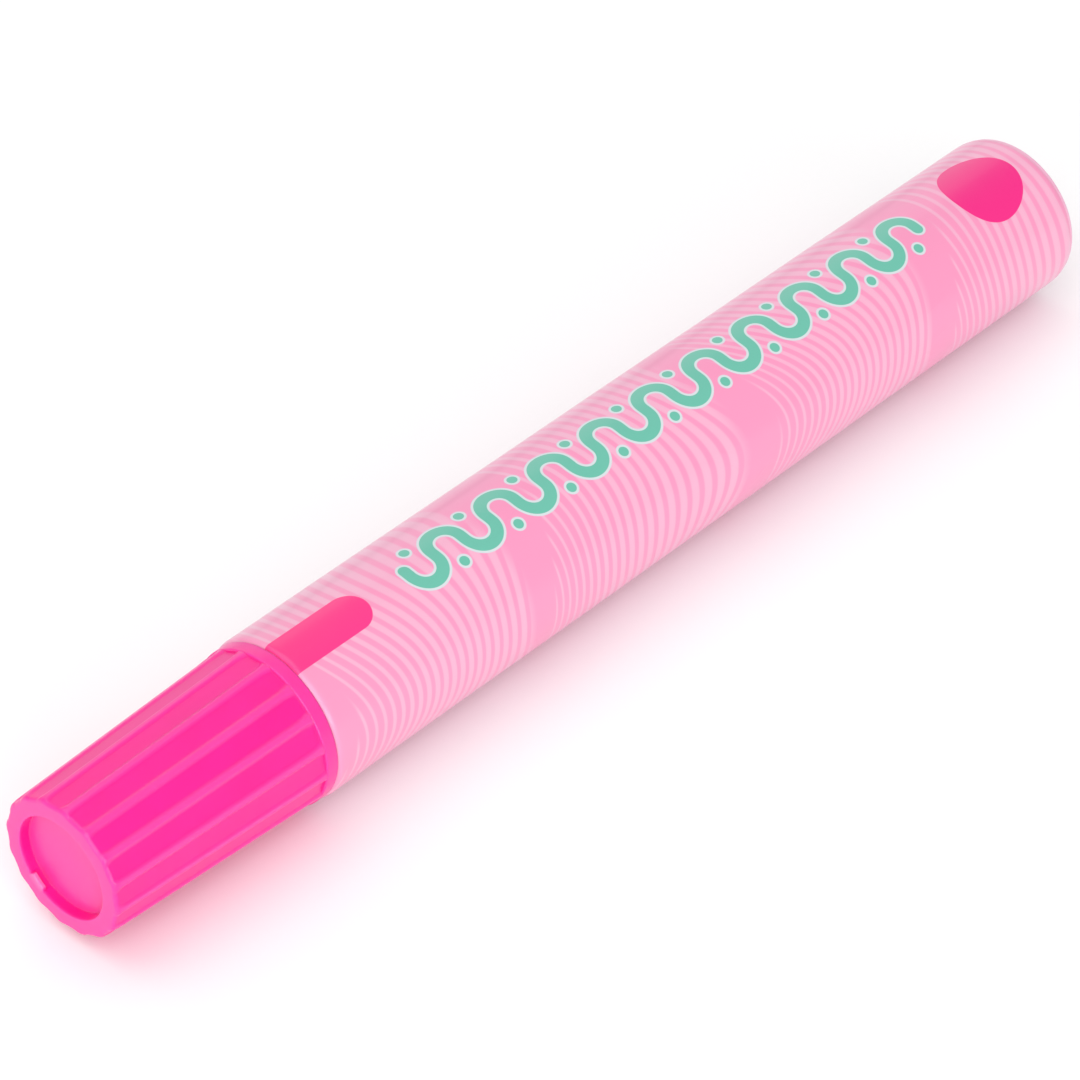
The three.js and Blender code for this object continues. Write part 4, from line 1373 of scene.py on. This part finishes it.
class TUBE_OT_spring(Operator):
    """Winds the valve's return spring at its rest length; on the real tube it shortens as the nib is
    pressed
    """
    bl_idname = "tube.spring"
    bl_label = "Return Spring"

    def execute(self, context):
        valve, d = context.scene.tube_valve, derived(context.scene)
        piece = add("return_spring", bpy.data.meshes.new("return_spring"))
        start, end = d.spring_front + valve.wire / 2, d.spring_rear - valve.wire / 2
        grow(
            piece, spring_tree(), Count=valve.turns, Start=d.shoulder + start, Span=end - start,
            Radius=valve.spring / 2, Wire=valve.wire, End_Pitch=valve.end_pitch,
            Material=steel_finish(valve),
        )
        hand_over(piece, "tube", "valve_spring")
        length = d.spring_rear - d.spring_front
        d.shoulder + d.spring_rear
        (length - valve.travel) / length
        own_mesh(piece)
        return {"FINISHED"}


def glue_section(radius, level, meniscus):
    """The glue's cross-section as (y, z) points: the wetted wall and the level top, raised at the wall."""
    arc_steps, top_steps, steepness = 96, 40, 10
    edge = acos(level / radius)
    turns = [edge + (2 * pi - 2 * edge) * k / arc_steps for k in range(arc_steps)]
    points = [(radius * sin(turn), radius * cos(turn)) for turn in turns]
    half = sqrt(radius * radius - level * level)
    for k in range(top_steps):
        y = -half + 2 * half * k / top_steps
        climb = ((abs(y) / half) ** steepness - 1) * meniscus
        points.append((y, level + climb))
    return points


def glue_stations(start, end, rounding):
    """Places along the glue with their inset, which rounds both ends."""
    corner_steps, straight_steps = 5, 20
    turns = [pi / 2 * k / corner_steps for k in range(corner_steps + 1)]
    corner = [(rounding * (1 - sin(turn)), rounding * (1 - cos(turn))) for turn in turns]
    straight = end - start - 2 * rounding
    stations = [(start + away, inset) for away, inset in reversed(corner)]
    stations += [(start + rounding + straight * k / straight_steps, 0) for k in range(1, straight_steps)]
    return stations + [(end - away, inset) for away, inset in corner]


def glue_finish(valve):
    """Clear glue, faintly cloudy."""
    finish = Finish("Clear glue", Roughness=0.08, Transmission_Weight=0.65, IOR=1.42)
    clouds = noise(finish.place, scale=160.0)
    finish.set(Base_Color=tinted(clouds, darkened(valve.glue, 0.92), valve.glue))
    finish.relief(clouds, 0.03 * MM)
    return finish.material


class TUBE_OT_glue(Operator):
    """Makes the glue inside the barrel, level because the tube lies on its side"""
    bl_idname = "tube.glue"
    bl_label = "Glue"

    def execute(self, context):
        valve, barrel, d = context.scene.tube_valve, context.scene.tube_barrel, derived(context.scene)
        radius = d.chamber - valve.glue_gap
        level = d.chamber - valve.air
        start = max(d.cage_rear, d.chamber_start) + valve.glue_end_gap
        end = d.chamber_end - barrel.inner_rounding - valve.glue_end_gap
        rounding = 0.8 * MM
        shape = bmesh.new()
        rings = []
        for along, inset in glue_stations(start, end, rounding):
            section = glue_section(radius - inset, level - inset / 2, valve.meniscus)
            rings.append([shape.verts.new((d.shoulder + along, y, AXIS + z)) for y, z in section])
        for first, second in zip(rings, rings[1:]):
            bridge(shape, first, second)
        shape.faces.new(rings[0])
        shape.faces.new(rings[-1][::-1])
        piece = add_shape("glue_body", shape)
        settle(piece)
        weigh_normals(piece)
        hand_over(piece, "tube", "glue_fill", glue_finish(valve))
        return {"FINISHED"}


# The stage

def add_floor(stage):
    half = stage.floor_size / 2
    mesh = bpy.data.meshes.new("floor")
    corners = [(-half, -half, 0), (half, -half, 0), (half, half, 0), (-half, half, 0)]
    mesh.from_pydata(corners, [], [(0, 1, 2, 3)])
    floor = add("floor", mesh)
    floor.location.z = CAD_LOW.z - 0.02 * MM
    finish = Finish("Floor", Roughness=0.85, Specular_IOR_Level=0.15)
    grain = noise(finish.place, scale=900.0, detail=3.0)
    finish.set(Base_Color=tinted(grain, darkened(stage.floor, 0.99), stage.floor))
    mesh.materials.append(finish.material)


def add_light(name, power, width, height, place):
    """A soft light that faces the middle of the tube."""
    light = bpy.data.lights.new(name, "AREA")
    light.shape = "RECTANGLE"
    light.size, light.size_y, light.energy = width, height, power
    made = add(name, light)
    made.location = place
    made.rotation_euler = (-Vector(place)).to_track_quat("-Z", "Y").to_euler()


def add_world(scene, strength):
    scene.world = bpy.data.worlds.new("Plain surroundings")
    scene.world.use_nodes = True
    background = scene.world.node_tree.nodes["Background"]
    background.inputs["Color"].default_value = (1, 1, 1, 1)
    background.inputs["Strength"].default_value = strength


def add_camera(scene, stage):
    """The camera, placed from the cap's end along its own right, up and back directions."""
    across = Vector((cos(stage.azimuth), sin(stage.azimuth), 0))
    back = Vector((
        sin(stage.azimuth) * cos(stage.elevation),
        -cos(stage.azimuth) * cos(stage.elevation),
        sin(stage.elevation),
    ))
    up = back.cross(across)
    data = bpy.data.cameras.new("Camera")
    data.lens = stage.lens
    data.sensor_width = 36
    data.clip_start, data.clip_end = 0.01, 50
    scene.camera = add("Camera", data)
    cap_end = Vector((CAP_LOW.x, 0, AXIS))
    spot = cap_end + across * stage.aside + up * stage.below + back * stage.distance
    scene.camera.matrix_world = Matrix.Translation(spot) @ Matrix((across, up, back)).transposed().to_4x4()


class TUBE_OT_stage(Operator):
    """Makes the pale floor, the soft lights and the camera"""
    bl_idname = "tube.stage"
    bl_label = "Stage"

    def execute(self, context):
        stage = context.scene.tube_stage
        add_floor(stage)
        add_world(context.scene, stage.world)
        for name, light in LIGHTS.items():
            add_light(name.title(), getattr(stage, name), *light)
        add_camera(context.scene, stage)
        context.scene.view_settings.view_transform = "Standard"
        return {"FINISHED"}


class TUBE_PT_panel(Panel):
    """Lists the tube's pieces in the sidebar"""
    bl_idname = "TUBE_PT_panel"
    bl_label = "Glue Tube"
    bl_space_type = "VIEW_3D"
    bl_region_type = "UI"
    bl_category = "Glue Tube"

    def draw(self, context):
        for operator in OPERATORS:
            self.layout.operator(operator.bl_idname)
        for name, group in GROUPS.items():
            box = self.layout.box()
            box.label(text=group.__name__.replace("Settings", ""))
            settings = getattr(context.scene, name)
            for key in group.__annotations__:
                box.prop(settings, key)


GROUPS = {
    "tube_film": FilmSettings,
    "tube_barrel": BarrelSettings,
    "tube_cap": CapSettings,
    "tube_nozzle": NozzleSettings,
    "tube_valve": ValveSettings,
    "tube_stage": StageSettings,
}

OPERATORS = (
    TUBE_OT_stage,
    TUBE_OT_film,
    TUBE_OT_barrel,
    TUBE_OT_cap,
    TUBE_OT_liner,
    TUBE_OT_insert,
    TUBE_OT_holder,
    TUBE_OT_nib,
    TUBE_OT_valve,
    TUBE_OT_spring,
    TUBE_OT_glue,
)


def register():
    for made in (*GROUPS.values(), *OPERATORS, TUBE_PT_panel):
        bpy.utils.register_class(made)
    for name, group in GROUPS.items():
        setattr(bpy.types.Scene, name, PointerProperty(type=group))


def unregister():
    for name in GROUPS:
        delattr(bpy.types.Scene, name)
    for made in reversed((*GROUPS.values(), *OPERATORS, TUBE_PT_panel)):
        bpy.utils.unregister_class(made)


def main():
    register()
    for operator in OPERATORS:
        getattr(bpy.ops.tube, operator.bl_idname.split(".")[1])()


if __name__ == "__main__":
    main()
